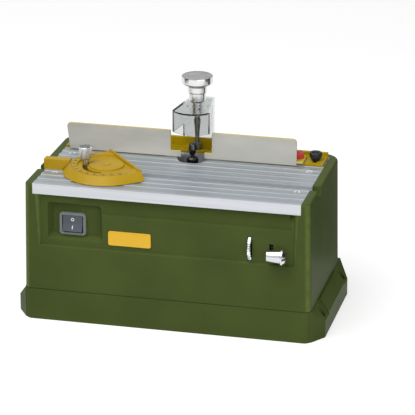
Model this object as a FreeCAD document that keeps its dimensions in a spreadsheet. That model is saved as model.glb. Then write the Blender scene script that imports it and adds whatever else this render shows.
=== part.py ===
import FreeCAD, Part
import math
import os
import re
import Sketcher

# Driving sizes, in millimetres and degrees. Setbacks are measured from the front of the housing.
SIZES = {
    # Housing and base
    "cheek": 9.8, "draft": 2.2, "rear_cheek": 14, "table_top": 160, "base_height": 36,
    "wall": 3, "corner_radius": 8, "rear_radius": 20, "top_round": 3, "base_floor": 4, "rib_radius": 6,
    "reveal": 0.8, "reveal_height": 0.9,
    "ear_reach": 12.5, "ear_edge": 19, "ear_inset": 22.7, "ear_root_inset": 4,
    "band_inset": 13, "band_rise": 2.5,
    "bolt_outset": 6, "bolt_inset": 8.3, "bolt_radius": 2.75,
    "pocket_radius": 4.8, "pocket_floor": 12,
    "screw_inset": 12, "screw_setback": 16, "screw_radius": 2, "screw_play": 0.2,
    "screw_head_radius": 3.8, "screw_head": 3, "screw_sink": 4, "screw_bite": 20, "rib_height": 26,
    # Front panel
    "front_wall": 9, "front_reach": 26, "rear_reach": 23, "gland_reach": 15, "panel_inset": 3, "panel_low": 87.7, "panel_step": 127,
    "band_sink": 3, "panel_sink": 6, "panel_slant": 5, "step_slant": 1.5,
    "bay_inset": 47, "bay_width": 62, "bay_low": 96, "bay_height": 43, "bay_sink": 11,
    "bay_back": 3, "bay_slant": 4, "bay_round": 5,
    "label_inset": 109, "label_width": 48, "label_low": 94.5, "label_height": 16.3, "label_thick": 1.2,
    "switch_inset": 43, "switch_z": 113.4, "bezel_width": 30, "bezel_height": 26, "bezel_thick": 3,
    "switch_width": 27, "switch_height": 24, "switch_deep": 18,
    "rocker_width": 22, "rocker_height": 18, "rocker_play": 0.4, "rocker_swing": 1.6, "rocker_tilt": 10,
    "rocker_rise": 2, "rocker_skirt": 0.5, "rocker_draft": 0.8, "rocker_keel": 3.2, "rocker_keel_height": 5,
    "pin_radius": 1.2, "pin_reach": 1.5, "pin_play": 0.05,
    "gland_inset": 40, "gland_z": 72, "gland_radius": 6, "gland_flange": 9,
    "gland_nose": 12, "gland_shoulder": 1, "gland_lip": 1.5, "cord_radius": 3.2,
    # Table
    "table_length": 300, "table_thick": 12, "ledge": 5, "shelf": 20, "shelf_thick": 6,
    "groove_first": 15, "groove_pitch": 13.5, "groove_width": 6.7, "groove_sink": 0.6,
    "table_screw_inset": 13, "table_screw_lead": 13.5, "table_screw_trail": 14,
    "table_screw_radius": 1.75, "table_screw_head": 3.6, "table_screw_length": 18,
    "spindle_setback": 124, "spindle_rear": 52, "spindle_hole": 17.5,
    # Height adjustment
    "lift_up": 7, "lift_down": 8,
    "wheel_inset": 56.5, "wheel_z": 104.3, "wheel_setback": 12, "wheel_radius": 16, "wheel_width": 4,
    "wheel_play": 0.6, "gear_module": 0.6, "pinion_teeth": 18, "pinion_width": 10, "pinion_offset": 25.5,
    "gear_backlash": 0.1, "pressure_angle": 20, "dedendum": 1.25, "tooth_bite": 0.5,
    "gear_shaft_radius": 2, "running_fit": 0.05,
    "shaft_tail": 7, "shaft_nose": 15.5, "shaft_block": 5, "bearer_near": 9.5, "bearer_far": 16.5,
    "shaft_block_height": 11, "shaft_block_rear": 15.5,
    "lever_inset": 32.6, "lever_z": 101.8, "clamp_bolt_radius": 1.95, "clamp_bolt_head": 4,
    "clamp_bolt_head_height": 3, "clamp_bolt_end": 2, "slot_play": 0.4,
    "grip_standoff": 8, "grip_tail": 2.6, "grip_length": 16.1, "grip_neck": 6.4, "grip_wide": 8,
    "grip_flange": 9.8, "grip_flange_thick": 2.5, "grip_rim": 1, "grip_dome": 3.5,
    "hub_radius": 3.1, "hub_gap": 0.3,
    # Motor and spindle
    "carriage_top": 136, "carriage_thick": 6, "carriage_length": 104, "carriage_width": 56,
    "column_span": 84, "column_radius": 4, "sleeve_radius": 7, "sleeve_length": 20, "socket_height": 14,
    "arm_left": 34, "arm_right": 52, "leg_thick": 5, "leg_bottom": 84, "leg_width": 17,
    "can_radius": 22, "can_wall": 1.5, "can_bottom": 62, "cap_height": 7,
    "lid_thick": 3, "bearing_radius": 8, "bearing_width": 5, "bearing_lip": 1.5,
    "spindle_radius": 3, "shaft_clearance": 1, "shaft_stub": 1, "collar_gap": 0.5,
    "armature_radius": 12, "armature_low": 82, "armature_high": 112,
    "armature_slots": 6, "slot_deep": 4, "slot_width": 2, "winding_height": 6, "winding_radius": 10.5,
    "commutator_radius": 5, "commutator_height": 8, "brush_size": 4, "brush_gap": 0.1, "brush_stop": 4,
    "holder_wall": 1.5, "holder_gap": 2, "holder_play": 0.6, "holder_foot_x": 11, "holder_foot": 4,
    "magnet_inner": 13, "magnet_gap": 16, "fan_radius": 18, "fan_thick": 4, "fan_plate": 1.4, "fan_hub": 2,
    "fan_gap": 2.5, "fan_blades": 8, "blade_thick": 1, "blade_root": 1.5, "blade_margin": 1,
    "collet_seat_radius": 5, "collet_top": 157, "collet_length": 13, "collet_small": 2.4,
    "collet_large": 3.6, "collet_stand": 1, "shank_radius": 1.55, "shank_below": 3, "fit": 0.05,
    "nut_radius": 6.5, "nut_top": 161.5, "nut_height": 11, "nut_bevel": 1.5, "nut_bevel_height": 2,
    "nut_play": 0.5,
    "cutter_low": 163.5, "cutter_high": 178, "cutter_radius": 4.6, "cutter_tip": 1.4, "flute": 1.6,
    "cutter_neck": 3.2, "cutter_shoulder": 3.7, "cutter_runout": 1, "cutter_point": 2, "cutter_web": 0.6,
    "motor_screw_ring": 15, "motor_screw_radius": 1.5, "motor_screw_length": 9, "motor_screw_head": 2.8,
    "motor_screw_cap": 2,
    "board_inset": 55, "board_length": 46, "board_width": 30, "board_thick": 1.6, "standoff": 6,
    "board_foot_radius": 2.5, "board_foot_inset": 4, "rectifier_size": 16, "rectifier_height": 7,
    # Fence
    "fence_lead": 0.8, "plate_thick": 2.5, "plate_height": 31, "plate_lift": 0.4,
    "left_plate_inset": 2.7, "left_plate_gap": 25.2, "left_tab": 13.2, "end_lean": 3,
    "right_plate_inset": 29.5, "right_plate_gap": 22.6, "right_tab": 14, "tab_height": 7, "plate_round": 4,
    "foot_thick": 2, "foot_depth": 19, "foot_near": 45, "foot_margin": 9, "foot_lift": 0.2,
    "carrier_inset": 1, "carrier_gap": 3, "carrier_width": 33, "carrier_lift": 0.1,
    "flange_thick": 3, "back_offset": 27.5, "carrier_wall": 4, "arm_height": 7.5,
    "crown_height": 13.8, "crown_length": 68,
    "mouth_length": 64, "mouth_depth": 14, "fence_travel": 6, "plate_travel": 4,
    "clamp_inset": 11, "clamp_offset": 13, "clamp_radius": 7, "clamp_waist": 5, "clamp_height": 10.5,
    "clamp_flare": 3.7, "clamp_crown": 2.6,
    "lock_inset": 31, "lock_offset": 11, "lock_radius": 7, "lock_height": 6.5,
    "stud_radius": 2, "stud_play": 0.4, "knob_gap": 0.2, "knob_edge": 0.8,
    # Cutter guard
    "hood_top": 217, "hood_bottom": 191.8, "hood_lead": 17.3, "hood_trail": 52,
    "hood_front_width": 46, "hood_rear_width": 26.8, "hood_wall": 2, "hood_roof": 2.5, "nose_radius": 27,
    "hood_boss_radius": 15.5, "hood_boss_rise": 1,
    "skirt_offset": 2, "skirt_low": 176.5, "tail_low": 166, "tail_gap": 0.7,
    "post_offset": 20, "post_foot": 5, "post_foot_height": 7.5, "post_waist": 2.5,
    "post_waist_top": 180.3,
    "post_swell": 3.5, "post_head": 3.8, "post_head_low": 194.4, "post_head_high": 199.5,
    "post_rod": 3, "post_top": 245,
    "bush_radius": 5.85, "bush_low": 203.5, "bush_high": 219.6, "bush_play": 0.08,
    "knob_radius": 17.8, "knob_top": 250.4, "knob_rim": 9, "knob_bevel": 1.5, "knob_under": 3,
    "knob_collar": 10.9, "knob_collar_low": 231.6, "knob_neck": 9.8, "knob_neck_low": 224,
    "knob_foot": 6.4, "knob_low": 219.9,
    # Mitre gauge
    "bar_lead": 68.5, "bar_width": 10, "bar_play": 0.1, "slot_sink": 8, "notch_width": 16,
    "bar_overhang": 2, "bar_nose": 23, "bar_rise": 11.5, "bar_block": 34, "bar_lift": 0.3,
    "pivot_inset": 69, "head_radius": 49, "head_top_radius": 41, "head_lift": 0.4, "head_height": 8.6,
    "head_play": 0.5, "face_offset": 24, "face_wall": 3, "face_rise": 2, "mitre_turn": 39.7,
    "pit_radius": 33, "pit_sink": 2, "plateau_radius": 19.5,
    "arc_radius": 24, "arc_width": 5.2, "arc_span": 102,
    "pivot_radius": 2.5, "pivot_head": 4.5, "pivot_head_height": 2,
    "mitre_knob_radius": 7.2, "mitre_knob_low": 173.5, "mitre_knob_high": 188, "mitre_knob_flare": 1.5,
    "mitre_collar": 3.6,
}

doc = FreeCAD.newDocument("spindle_moulder")
sheet = doc.addObject("Spreadsheet::Sheet", "sizes")
for row, (alias, size) in enumerate(SIZES.items(), start=1):
    sheet.set(f"A{row}", alias)
    sheet.set(f"B{row}", str(size))
    sheet.setAlias(f"B{row}", alias)
doc.recompute()

# Places that follow from the sizes, so that a change of table or setback carries its fittings along
PLACES = {
    "depth": "(spindle_setback + spindle_rear)",
    "table_depth": "(depth - rear_cheek)",
    "top_half": "(table_length / 2 + cheek)",
    "base_half": "(top_half + draft)",
    "ear_root": "(depth - 2 * ear_root_inset)",
    "ear_length": "(depth - 2 * ear_inset)",
    "bolt_span_x": "(2 * base_half + 2 * bolt_outset)",
    "bolt_span_y": "(ear_length - 2 * bolt_inset)",
    "band_length": "(bolt_span_y - 2 * band_inset)",
    "screw_span_x": "(table_length - 2 * screw_inset)",
    "screw_span_y": "(depth - 2 * screw_setback)",
    "panel_half": "(table_length / 2 - panel_inset)",
    "bay_x": "(bay_inset - table_length / 2)",
    "label_x": "(label_inset - table_length / 2)",
    "switch_x": "(switch_inset - table_length / 2)",
    "gland_x": "(gland_inset - table_length / 2)",
    "board_x": "(board_inset - table_length / 2)",
    "wheel_x": "(table_length / 2 - wheel_inset)",
    "lever_x": "(table_length / 2 - lever_inset)",
    "pinion_x": "(wheel_x - pinion_offset)",
    "shaft_left": "(pinion_x - shaft_tail)",
    "shaft_right": "(wheel_x + shaft_nose)",
    "shaft_block_left": "(wheel_x - bearer_far)",
    "shaft_block_right": "(wheel_x + bearer_near)",
    "table_screw_span": "(table_length - 2 * table_screw_inset)",
    "table_screw_front": "(bar_setback - table_screw_lead)",
    "table_screw_rear": "(spindle_setback - table_screw_trail)",
    "bar_setback": "(spindle_setback - bar_lead)",
    "fence_setback": "(spindle_setback - fence_lead)",
    "carrier_front": "(spindle_setback + carrier_gap)",
    "carrier_rear": "(carrier_front + carrier_width)",
    "wall_setback": "(carrier_front + back_offset)",
    "mouth_rear": "(carrier_front + mouth_depth)",
    "clamp_setback": "(carrier_front + clamp_offset)",
    "lock_setback": "(carrier_front + lock_offset)",
    "foot_rear": "(carrier_front + foot_depth)",
    "post_setback": "(carrier_front + post_offset)",
    "carrier_length": "(table_length - 2 * carrier_inset)",
    "clamp_span": "(carrier_length - 2 * clamp_inset)",
    "lock_span": "(carrier_length - 2 * lock_inset)",
    "foot_far": "(lock_span / 2 + foot_margin)",
    "left_plate_end": "(carrier_length / 2 - left_plate_inset)",
    "right_plate_end": "(carrier_length / 2 - right_plate_inset)",
    "hood_nose": "(spindle_setback - hood_lead)",
    "hood_rear": "(spindle_setback + hood_trail)",
    "skirt_front": "(post_setback + skirt_offset)",
    "pivot_x": "(pivot_inset - table_length / 2)",
    "bar_left": "(-bar_overhang - table_length / 2)",
    "bar_block_end": "(bar_left + bar_block)",
    "bar_right": "(pivot_x + bar_nose)",
}
FRONT = "(-depth / 2)"
REAR = "(depth / 2)"
SEAT = "(table_top - table_thick)"
SPINDLE_Y = "(spindle_setback - depth / 2)"
COLUMN_X = "(column_span / 2)"
CARRIAGE_LOW = "(carriage_top - carriage_thick)"
PITCH_RADIUS = "(gear_module * pinion_teeth / 2)"
WHEEL_Y = "(wheel_setback - depth / 2)"
RACK_ROOT = f"({WHEEL_Y} + {PITCH_RADIUS} + dedendum * gear_module)"
FLANGE_LOW = "(table_top + carrier_lift)"
FLANGE_TOP = "(table_top + carrier_lift + flange_thick)"
FOOT_LOW = f"({FLANGE_TOP} + foot_lift)"
FOOT_TOP = f"({FOOT_LOW} + foot_thick)"
BAR_Y = "(bar_setback - depth / 2)"
BAR_LOW = "(table_top - slot_sink + bar_lift)"
HEAD_LOW = "(table_top + head_lift)"
HEAD_TOP = "(table_top + head_lift + head_height)"
POST_Y = "(post_setback - depth / 2)"
GRIP_Y = f"({FRONT} - grip_standoff)"
INNER_FRONT = f"({FRONT} + front_wall)"
PANEL_FACE = f"({FRONT} + band_sink)"
SIDES = {"left": -1, "right": 1}

WORD = re.compile(r"\b(?!(?:sin|cos|tan|sqrt)\b)[a-z][a-z_0-9]*\b")


def bound(formula):
    """The formula with its places written out and each size name pointing at its cell."""
    written = str(formula)
    while any(name in PLACES for name in WORD.findall(written)):
        written = WORD.sub(lambda name: PLACES.get(name[0], name[0]), written)
    return WORD.sub(r"sizes.\g<0>", written)


def tie(item, target, formula):
    item.setExpression(target, bound(formula))


def number(formula):
    return float(sheet.evalExpression(bound(formula)))


# Building blocks: boxes, rods, tapers, turned and padded profiles, and what joins or carves them.
# A volume that cuts runs 1 mm past the face it cuts.
TURNS = {
    "x": FreeCAD.Rotation(FreeCAD.Vector(0, 1, 0), 90),
    "y": FreeCAD.Rotation(FreeCAD.Vector(1, 0, 0), -90),
    "z": FreeCAD.Rotation(),
}
CROSS = {"x": "yz", "y": "xz", "z": "xy"}
PLANES = {"x": "YZ_Plane", "y": "XZ_Plane", "z": "XY_Plane"}


def block(name, across, along, up):
    """Box between two formulas on each axis."""
    item = doc.addObject("Part::Box", name)
    for side, axis, (low, high) in zip(("Length", "Width", "Height"), "xyz", (across, along, up)):
        tie(item, side, f"({high}) - ({low})")
        tie(item, f".Placement.Base.{axis}", low)
    return item


def lay(item, axis, at, reach):
    """Stand a round primitive along an axis, between the two formulas of its reach."""
    item.Placement = FreeCAD.Placement(FreeCAD.Vector(), TURNS[axis])
    tie(item, "Height", f"({reach[1]}) - ({reach[0]})")
    tie(item, f".Placement.Base.{axis}", reach[0])
    for other, formula in zip(CROSS[axis], at):
        tie(item, f".Placement.Base.{other}", formula)
    return item


def recess(name, across, along, up, slant):
    """Cutter that narrows by the slant on each side from its front plane to its back plane."""
    item = doc.addObject("Part::Wedge", name)
    for axis, (low, high) in zip("XYZ", (across, along, up)):
        tie(item, f"{axis}min", low)
        tie(item, f"{axis}max", high)
    for axis, (low, high), inset in zip("XZ", (across, up), slant):
        tie(item, f"{axis}2min", f"({low}) + ({inset})")
        tie(item, f"{axis}2max", f"({high}) - ({inset})")
    return item


def rod(name, axis, at, radius, reach):
    item = doc.addObject("Part::Cylinder", name)
    tie(item, "Radius", radius)
    return lay(item, axis, at, reach)


def taper(name, axis, at, radii, reach):
    item = doc.addObject("Part::Cone", name)
    tie(item, "Radius1", radii[0])
    tie(item, "Radius2", radii[1])
    return lay(item, axis, at, reach)


def join(name, *items):
    item = doc.addObject("Part::MultiFuse", name)
    item.Shapes = list(items)
    return item


def carve(name, base, *tools):
    item = doc.addObject("Part::Cut", name)
    item.Base = base
    item.Tool = tools[0] if len(tools) == 1 else join(f"{name}_cuts", *tools)
    return item


def overlap(name, base, tool):
    item = doc.addObject("Part::Common", name)
    item.Base = base
    item.Tool = tool
    return item


def group(name, *items):
    item = doc.addObject("Part::Compound", name)
    item.Links = list(items)
    return item


def sketched(name, axis, outline):
    """Body with a closed sketch across an axis, each corner held by its two distances from the origin."""
    body = doc.addObject("PartDesign::Body", name)
    sketch = body.newObject("Sketcher::SketchObject", f"{name}_sketch")
    plane = [item for item in body.Origin.OriginFeatures if item.Role == PLANES[axis]][0]
    sketch.AttachmentSupport = (plane, [""])
    sketch.MapMode = "FlatFace"
    corners = [FreeCAD.Vector(number(u), number(v), 0) for u, v in outline]
    count = len(corners)
    for i in range(count):
        sketch.addGeometry(Part.LineSegment(corners[i], corners[(i + 1) % count]))
    for i in range(count):
        sketch.addConstraint(Sketcher.Constraint("Coincident", i, 2, (i + 1) % count, 1))
    for i, (u, v) in enumerate(outline):
        for kind, formula, size in (("DistanceX", u, corners[i].x), ("DistanceY", v, corners[i].y)):
            index = sketch.addConstraint(Sketcher.Constraint(kind, -1, 1, i, 1, size))
            tie(sketch, f"Constraints[{index}]", formula)
    return body, sketch


def padded(name, axis, outline, reach):
    """Outline padded along an axis, between the two formulas of its reach."""
    body, sketch = sketched(name, axis, outline)
    pad = body.newObject("PartDesign::Pad", f"{name}_pad")
    pad.Profile = sketch
    pad.Midplane = True
    tie(pad, "Length", f"({reach[1]}) - ({reach[0]})")
    tie(body, f".Placement.Base.{axis}", f"(({reach[0]}) + ({reach[1]})) / 2")
    return body


def turned(name, at, profile):
    """Profile of radius and height turned about a vertical axis."""
    body, sketch = sketched(name, "y", profile)
    revolution = body.newObject("PartDesign::Revolution", f"{name}_turn")
    revolution.Profile = sketch
    revolution.ReferenceAxis = (sketch, ["V_Axis"])
    revolution.Angle = 360
    tie(body, ".Placement.Base.x", at[0])
    tie(body, ".Placement.Base.y", at[1])
    return body


def round_uprights(body, side, radius):
    """Fillet the upright edges at the front or the rear of a body's last feature."""
    doc.recompute()
    base = body.Tip
    middle = base.Shape.BoundBox.Center.y
    upright = [f"Edge{i}" for i, edge in enumerate(base.Shape.Edges, start=1)
               if edge.BoundBox.ZLength > 1e-6 and (edge.BoundBox.Center.y < middle) == (side == "front")]
    fillet = body.newObject("PartDesign::Fillet", f"{body.Name}_{side}")
    fillet.Base = (base, upright)
    tie(fillet, "Radius", radius)


def round_top(body, radius):
    """Fillet the edges round the top of a body's last feature."""
    doc.recompute()
    base = body.Tip
    top = max(vertex.Z for vertex in base.Shape.Vertexes)
    rim = [f"Edge{i}" for i, edge in enumerate(base.Shape.Edges, start=1)
           if min(vertex.Z for vertex in edge.Vertexes) > top - 1e-6]
    fillet = body.newObject("PartDesign::Fillet", f"{body.Name}_top")
    fillet.Base = (base, rim)
    tie(fillet, "Radius", radius)


def rectangle(half_x, y_low, y_high):
    return [(f"-{half_x}", y_low), (half_x, y_low), (half_x, y_high), (f"-{half_x}", y_high)]


def four(span_x, span_y):
    """The four places of a rectangle centred on the origin."""
    return [(f"{sx} * {span_x} / 2", f"{sy} * {span_y} / 2") for sx in (-1, 1) for sy in (-1, 1)]


def table_screw_places():
    return [
        (f"{sx} * table_screw_span / 2", f"{setback} - depth / 2")
        for sx in (-1, 1)
        for setback in ("table_screw_front", "table_screw_rear")
    ]


def motor_screw_places():
    return [(f"motor_screw_ring * cos({angle})", f"{SPINDLE_Y} + motor_screw_ring * sin({angle})")
            for angle in (90, 210, 330)]


def columns(name, radius, reach):
    """Round bars at the two guide column places."""
    return [rod(f"{name}_{side}", "z", (f"{sx} * {COLUMN_X}", SPINDLE_Y), radius, reach)
            for side, sx in SIDES.items()]


# Base: a tray with two sloping ears and screw pockets in the ears, and sockets on its floor for the guide columns
def make_base():
    tip = "(base_half + ear_reach)"
    crest = "(base_half + band_rise)"
    tray = padded("base_tray", "z", rectangle("base_half", FRONT, REAR), ("0", "base_height"))
    round_uprights(tray, "front", "corner_radius")
    round_uprights(tray, "rear", "rear_radius")
    slope = padded("ear_slope", "y", [
        (f"-{tip}", "0"), (tip, "0"), (tip, "ear_edge"),
        ("base_half", "base_height"), ("-base_half", "base_height"), (f"-{tip}", "ear_edge"),
    ], (FRONT, REAR))
    plan = padded("ear_plan", "z", [
        (f"-{tip}", "-ear_length / 2"), ("-base_half", "-ear_root / 2"),
        ("base_half", "-ear_root / 2"), (tip, "-ear_length / 2"),
        (tip, "ear_length / 2"), ("base_half", "ear_root / 2"),
        ("-base_half", "ear_root / 2"), (f"-{tip}", "ear_length / 2"),
    ], ("0", "base_height"))
    bands = padded("ear_bands", "y", [
        (f"-{tip}", "0"), (tip, "0"), (tip, "ear_edge + band_rise"),
        (crest, "base_height"), (f"-{crest}", "base_height"), (f"-{tip}", "ear_edge + band_rise"),
    ], ("-band_length / 2", "band_length / 2"))
    outside = join("base_outside", tray, overlap("ears", slope, plan), bands)
    cavity = padded("base_cavity", "z", rectangle("(base_half - wall)", f"{FRONT} + wall", f"{REAR} - wall"),
                    ("base_floor", "base_height + 1"))
    round_uprights(cavity, "front", "corner_radius - wall")
    round_uprights(cavity, "rear", "rear_radius - wall")
    ribs = [rod(f"base_rib_{i}", "z", at, "rib_radius", ("0", "base_height"))
            for i, at in enumerate(four("screw_span_x", "screw_span_y"))]
    solid = join("base_solid", carve("base_hollow", outside, cavity), *ribs)
    cuts = []
    for i, at in enumerate(four("bolt_span_x", "bolt_span_y")):
        cuts.append(rod(f"ear_pocket_{i}", "z", at, "pocket_radius", ("pocket_floor", "base_height + 1")))
        cuts.append(rod(f"ear_hole_{i}", "z", at, "bolt_radius", ("-1", "pocket_floor + 1")))
    for i, at in enumerate(four("screw_span_x", "screw_span_y")):
        cuts.append(rod(f"base_sink_{i}", "z", at, "screw_head_radius + screw_play", ("-1", "screw_sink")))
        cuts.append(rod(f"base_hole_{i}", "z", at, "screw_radius + screw_play", ("-1", "base_height + 1")))
    return carve("base", solid, *cuts)


def make_sockets():
    bodies = columns("socket_body", "column_radius + wall", ("base_floor", "socket_height"))
    bores = columns("socket_bore", "column_radius", ("base_floor - 1", "socket_height + 1"))
    return group("column_sockets", *[carve(f"{body.Name}_open", body, bore) for body, bore in zip(bodies, bores)])


def make_base_screws():
    screws = []
    for i, at in enumerate(four("screw_span_x", "screw_span_y")):
        head = rod(f"base_screw_head_{i}", "z", at, "screw_head_radius",
                   ("screw_sink - screw_head", "screw_sink"))
        shank = rod(f"base_screw_shank_{i}", "z", at, "screw_radius",
                    ("screw_sink", "base_height + screw_bite"))
        screws.append(join(f"base_screw_{i}", head, shank))
    return group("base_screws", *screws)


# Housing: a drafted shell with a window for the front panel, shelves under the table and four screw blocks
def make_shell():
    foot_top = "(base_height + reveal_height)"
    foot = padded("housing_foot", "z", rectangle("(base_half - reveal)", f"{FRONT} + reveal", f"{REAR} - reveal"),
                  ("base_height", foot_top))
    round_uprights(foot, "front", "corner_radius - reveal")
    round_uprights(foot, "rear", "rear_radius - reveal")
    shell = padded("housing_shell", "y", [
        ("-base_half", foot_top), ("base_half", foot_top), ("top_half", "table_top"), ("-top_half", "table_top"),
    ], (FRONT, REAR))
    round_uprights(shell, "front", "corner_radius")
    round_uprights(shell, "rear", "rear_radius")
    round_top(shell, "top_round")
    outline = join("housing_outline", foot, shell)
    shelf_low = f"({SEAT} - shelf_thick)"
    table_rear = f"({FRONT} + table_depth)"
    inner_half = "(table_length / 2 - shelf)"
    cavity = padded("housing_cavity", "y", [
        ("wall - base_half", "base_height - 1"), ("base_half - wall", "base_height - 1"),
        ("top_half - wall", shelf_low), ("wall - top_half", shelf_low),
    ], (INNER_FRONT, f"{REAR} - wall"))
    round_uprights(cavity, "rear", "rear_radius - wall")
    window = "(panel_half - panel_slant)"
    hollow = carve(
        "housing_hollow", outline, cavity,
        block("housing_opening", (f"-{inner_half}", inner_half), (INNER_FRONT, f"{table_rear} - ledge"),
              (f"{shelf_low} - 1", f"{SEAT} + 1")),
        block("table_seat", ("-table_length / 2", "table_length / 2"), (f"{FRONT} - 1", table_rear),
              (SEAT, "table_top + 1")),
        recess("panel_recess", ("-panel_half", "panel_half"), (FRONT, PANEL_FACE),
               ("panel_low", f"{SEAT} + step_slant"), ("panel_slant", "step_slant")),
        block("panel_window", (f"-{window}", window), (PANEL_FACE, f"{INNER_FRONT} + 1"),
              ("panel_low + step_slant", f"{SEAT} + 1")),
    )
    places = four("screw_span_x", "screw_span_y")
    posts = []
    for i, (x, y) in enumerate(places):
        across = (f"{x} - rib_radius", "base_half") if number(x) > 0 else ("-base_half", f"{x} + rib_radius")
        along = (f"{y} - rib_radius", REAR) if number(y) > 0 else (FRONT, f"{y} + rib_radius")
        posts.append(block(f"screw_post_{i}", across, along, ("base_height", "base_height + rib_height")))
    solid = join("housing_solid", hollow, overlap("screw_posts", join("screw_blocks", *posts), outline))
    cuts = [
        wheel_room("wheel_relief"),
        block("cheek_notch", ("-base_half", "base_half"),
              (f"{BAR_Y} - notch_width / 2", f"{BAR_Y} + notch_width / 2"),
              ("table_top - slot_sink", "table_top + 1")),
        rod("gland_hole", "y", ("gland_x", "gland_z"), "gland_radius",
            (f"{REAR} - wall - 1", f"{REAR} + 1")),
    ]
    for i, at in enumerate(places):
        cuts.append(rod(f"housing_thread_{i}", "z", at, "screw_radius",
                        ("base_height - 1", "base_height + screw_bite")))
    for i, at in enumerate(table_screw_places()):
        cuts.append(rod(f"shelf_thread_{i}", "z", at, "table_screw_radius", (f"{shelf_low} - 1", f"{SEAT} + 1")))
    return carve("housing_whole", solid, *cuts)


def housing_part(name, whole, across, along):
    """One of the mouldings that the shell is made of."""
    return overlap(name, whole, block(f"{name}_reach", across, along, ("base_height", "table_top")))


def wheel_room(name):
    """The round slot that the height wheel turns in."""
    return rod(name, "x", (WHEEL_Y, "wheel_z"), "wheel_radius + wheel_play",
               ("wheel_x - wheel_width / 2 - wheel_play", "wheel_x + wheel_width / 2 + wheel_play"))


# Front panel: fills the housing's window, with the switch bay, two slots and the bearers of the height shaft
def make_front_panel():
    window = "(panel_half - panel_slant)"
    slab = carve(
        "panel_slab",
        block("panel_blank", (f"-{window}", window), (PANEL_FACE, INNER_FRONT), ("panel_low + step_slant", SEAT)),
        recess("panel_upper", ("bay_x", window), (PANEL_FACE, f"{FRONT} + panel_sink"),
               ("panel_step", f"{SEAT} + step_slant"), ("panel_slant", "step_slant")))
    bay = ("bay_x - bay_width / 2", "bay_x + bay_width / 2")
    bay_floor = f"({FRONT} + bay_sink)"
    bay_cutter = doc.addObject("Part::Fillet", "switch_bay")
    bay_cutter.Base = recess("switch_bay_blank", bay, (PANEL_FACE, bay_floor),
                             ("bay_low", "bay_low + bay_height"), ("bay_slant", "bay_slant"))
    doc.recompute()
    bay_cutter.Edges = [
        (i, number("bay_round"), number("bay_round"))
        for i, edge in enumerate(bay_cutter.Base.Shape.Edges, start=1)
        if edge.BoundBox.YLength > number("bay_sink - band_sink") / 2
    ]
    backing = block("bay_backing", (f"{bay[0]} - bay_back", f"{bay[1]} + bay_back"),
                    (INNER_FRONT, f"{bay_floor} + bay_back"),
                    ("bay_low - bay_back", "bay_low + bay_height + bay_back"))
    bearers = [
        block(f"shaft_bearer_{side}", (f"shaft_block_{side}", f"shaft_block_{side} + shaft_block"),
              (INNER_FRONT, f"{FRONT} + shaft_block_rear"),
              ("wheel_z - shaft_block_height / 2", "wheel_z + shaft_block_height / 2"))
        for side in SIDES
    ]
    bolt_gap = "(clamp_bolt_radius + slot_play)"
    return carve(
        "front_panel", join("panel_solid", slab, backing, *bearers), bay_cutter,
        block("switch_hole", ("switch_x - switch_width / 2", "switch_x + switch_width / 2"),
              (FRONT, f"{bay_floor} + bay_back + 1"),
              ("switch_z - switch_height / 2", "switch_z + switch_height / 2")),
        wheel_room("wheel_slot"),
        rod("pinion_relief", "x", (WHEEL_Y, "wheel_z"), f"{PITCH_RADIUS} + gear_module + wheel_play",
            ("pinion_x - pinion_width / 2 - wheel_play", "pinion_x + pinion_width / 2 + wheel_play")),
        rod("shaft_bore", "x", (WHEEL_Y, "wheel_z"), "gear_shaft_radius + running_fit",
            ("shaft_block_left - 1", "shaft_block_right + shaft_block + 1")),
        block("lever_slot", (f"lever_x - {bolt_gap}", f"lever_x + {bolt_gap}"),
              (f"{FRONT} - 1", f"{INNER_FRONT} + 1"),
              (f"lever_z - lift_down - {bolt_gap}", f"lever_z + lift_up + {bolt_gap}")))


# Table: an aluminium plate with shallow grooves, a mitre slot and the spindle hole
def make_table():
    plate = block("table_plate", ("-table_length / 2", "table_length / 2"),
                  (FRONT, f"{FRONT} + table_depth"), (SEAT, "table_top"))
    across = ("-table_length / 2 - 1", "table_length / 2 + 1")
    slot_half = "(bar_width / 2 + bar_play)"
    cuts = [
        block("mitre_slot", across, (f"{BAR_Y} - {slot_half}", f"{BAR_Y} + {slot_half}"),
              ("table_top - slot_sink", "table_top + 1")),
        rod("spindle_hole", "z", ("0", SPINDLE_Y), "spindle_hole", (f"{SEAT} - 1", "table_top + 1")),
    ]
    groove_count = int(number("table_depth - groove_first") // number("groove_pitch")) + 1
    for i in range(groove_count):
        setback = f"(groove_first + {i} * groove_pitch)"
        if abs(number(f"{setback} - bar_setback")) < number(f"{slot_half} + groove_width / 2"):
            continue
        middle = f"({FRONT} + {setback})"
        cuts.append(block(f"groove_{i}", across,
                          (f"{middle} - groove_width / 2", f"{middle} + groove_width / 2"),
                          ("table_top - groove_sink", "table_top + 1")))
    for i, at in enumerate(table_screw_places()):
        cuts.append(taper(f"table_sink_{i}", "z", at, ("table_screw_radius", "table_screw_head"),
                          ("table_top - groove_sink - table_screw_head + table_screw_radius",
                           "table_top - groove_sink")))
        cuts.append(rod(f"table_head_{i}", "z", at, "table_screw_head",
                        ("table_top - groove_sink", "table_top + 1")))
        cuts.append(rod(f"table_hole_{i}", "z", at, "table_screw_radius", (f"{SEAT} - 1", "table_top")))
    for side, sign in SIDES.items():
        at = (f"{sign} * clamp_span / 2", "clamp_setback - depth / 2")
        cuts.append(rod(f"clamp_thread_{side}", "z", at, "stud_radius + running_fit",
                        (f"{SEAT} - 1", "table_top + 1")))
    return carve("table", plate, *cuts)


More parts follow.
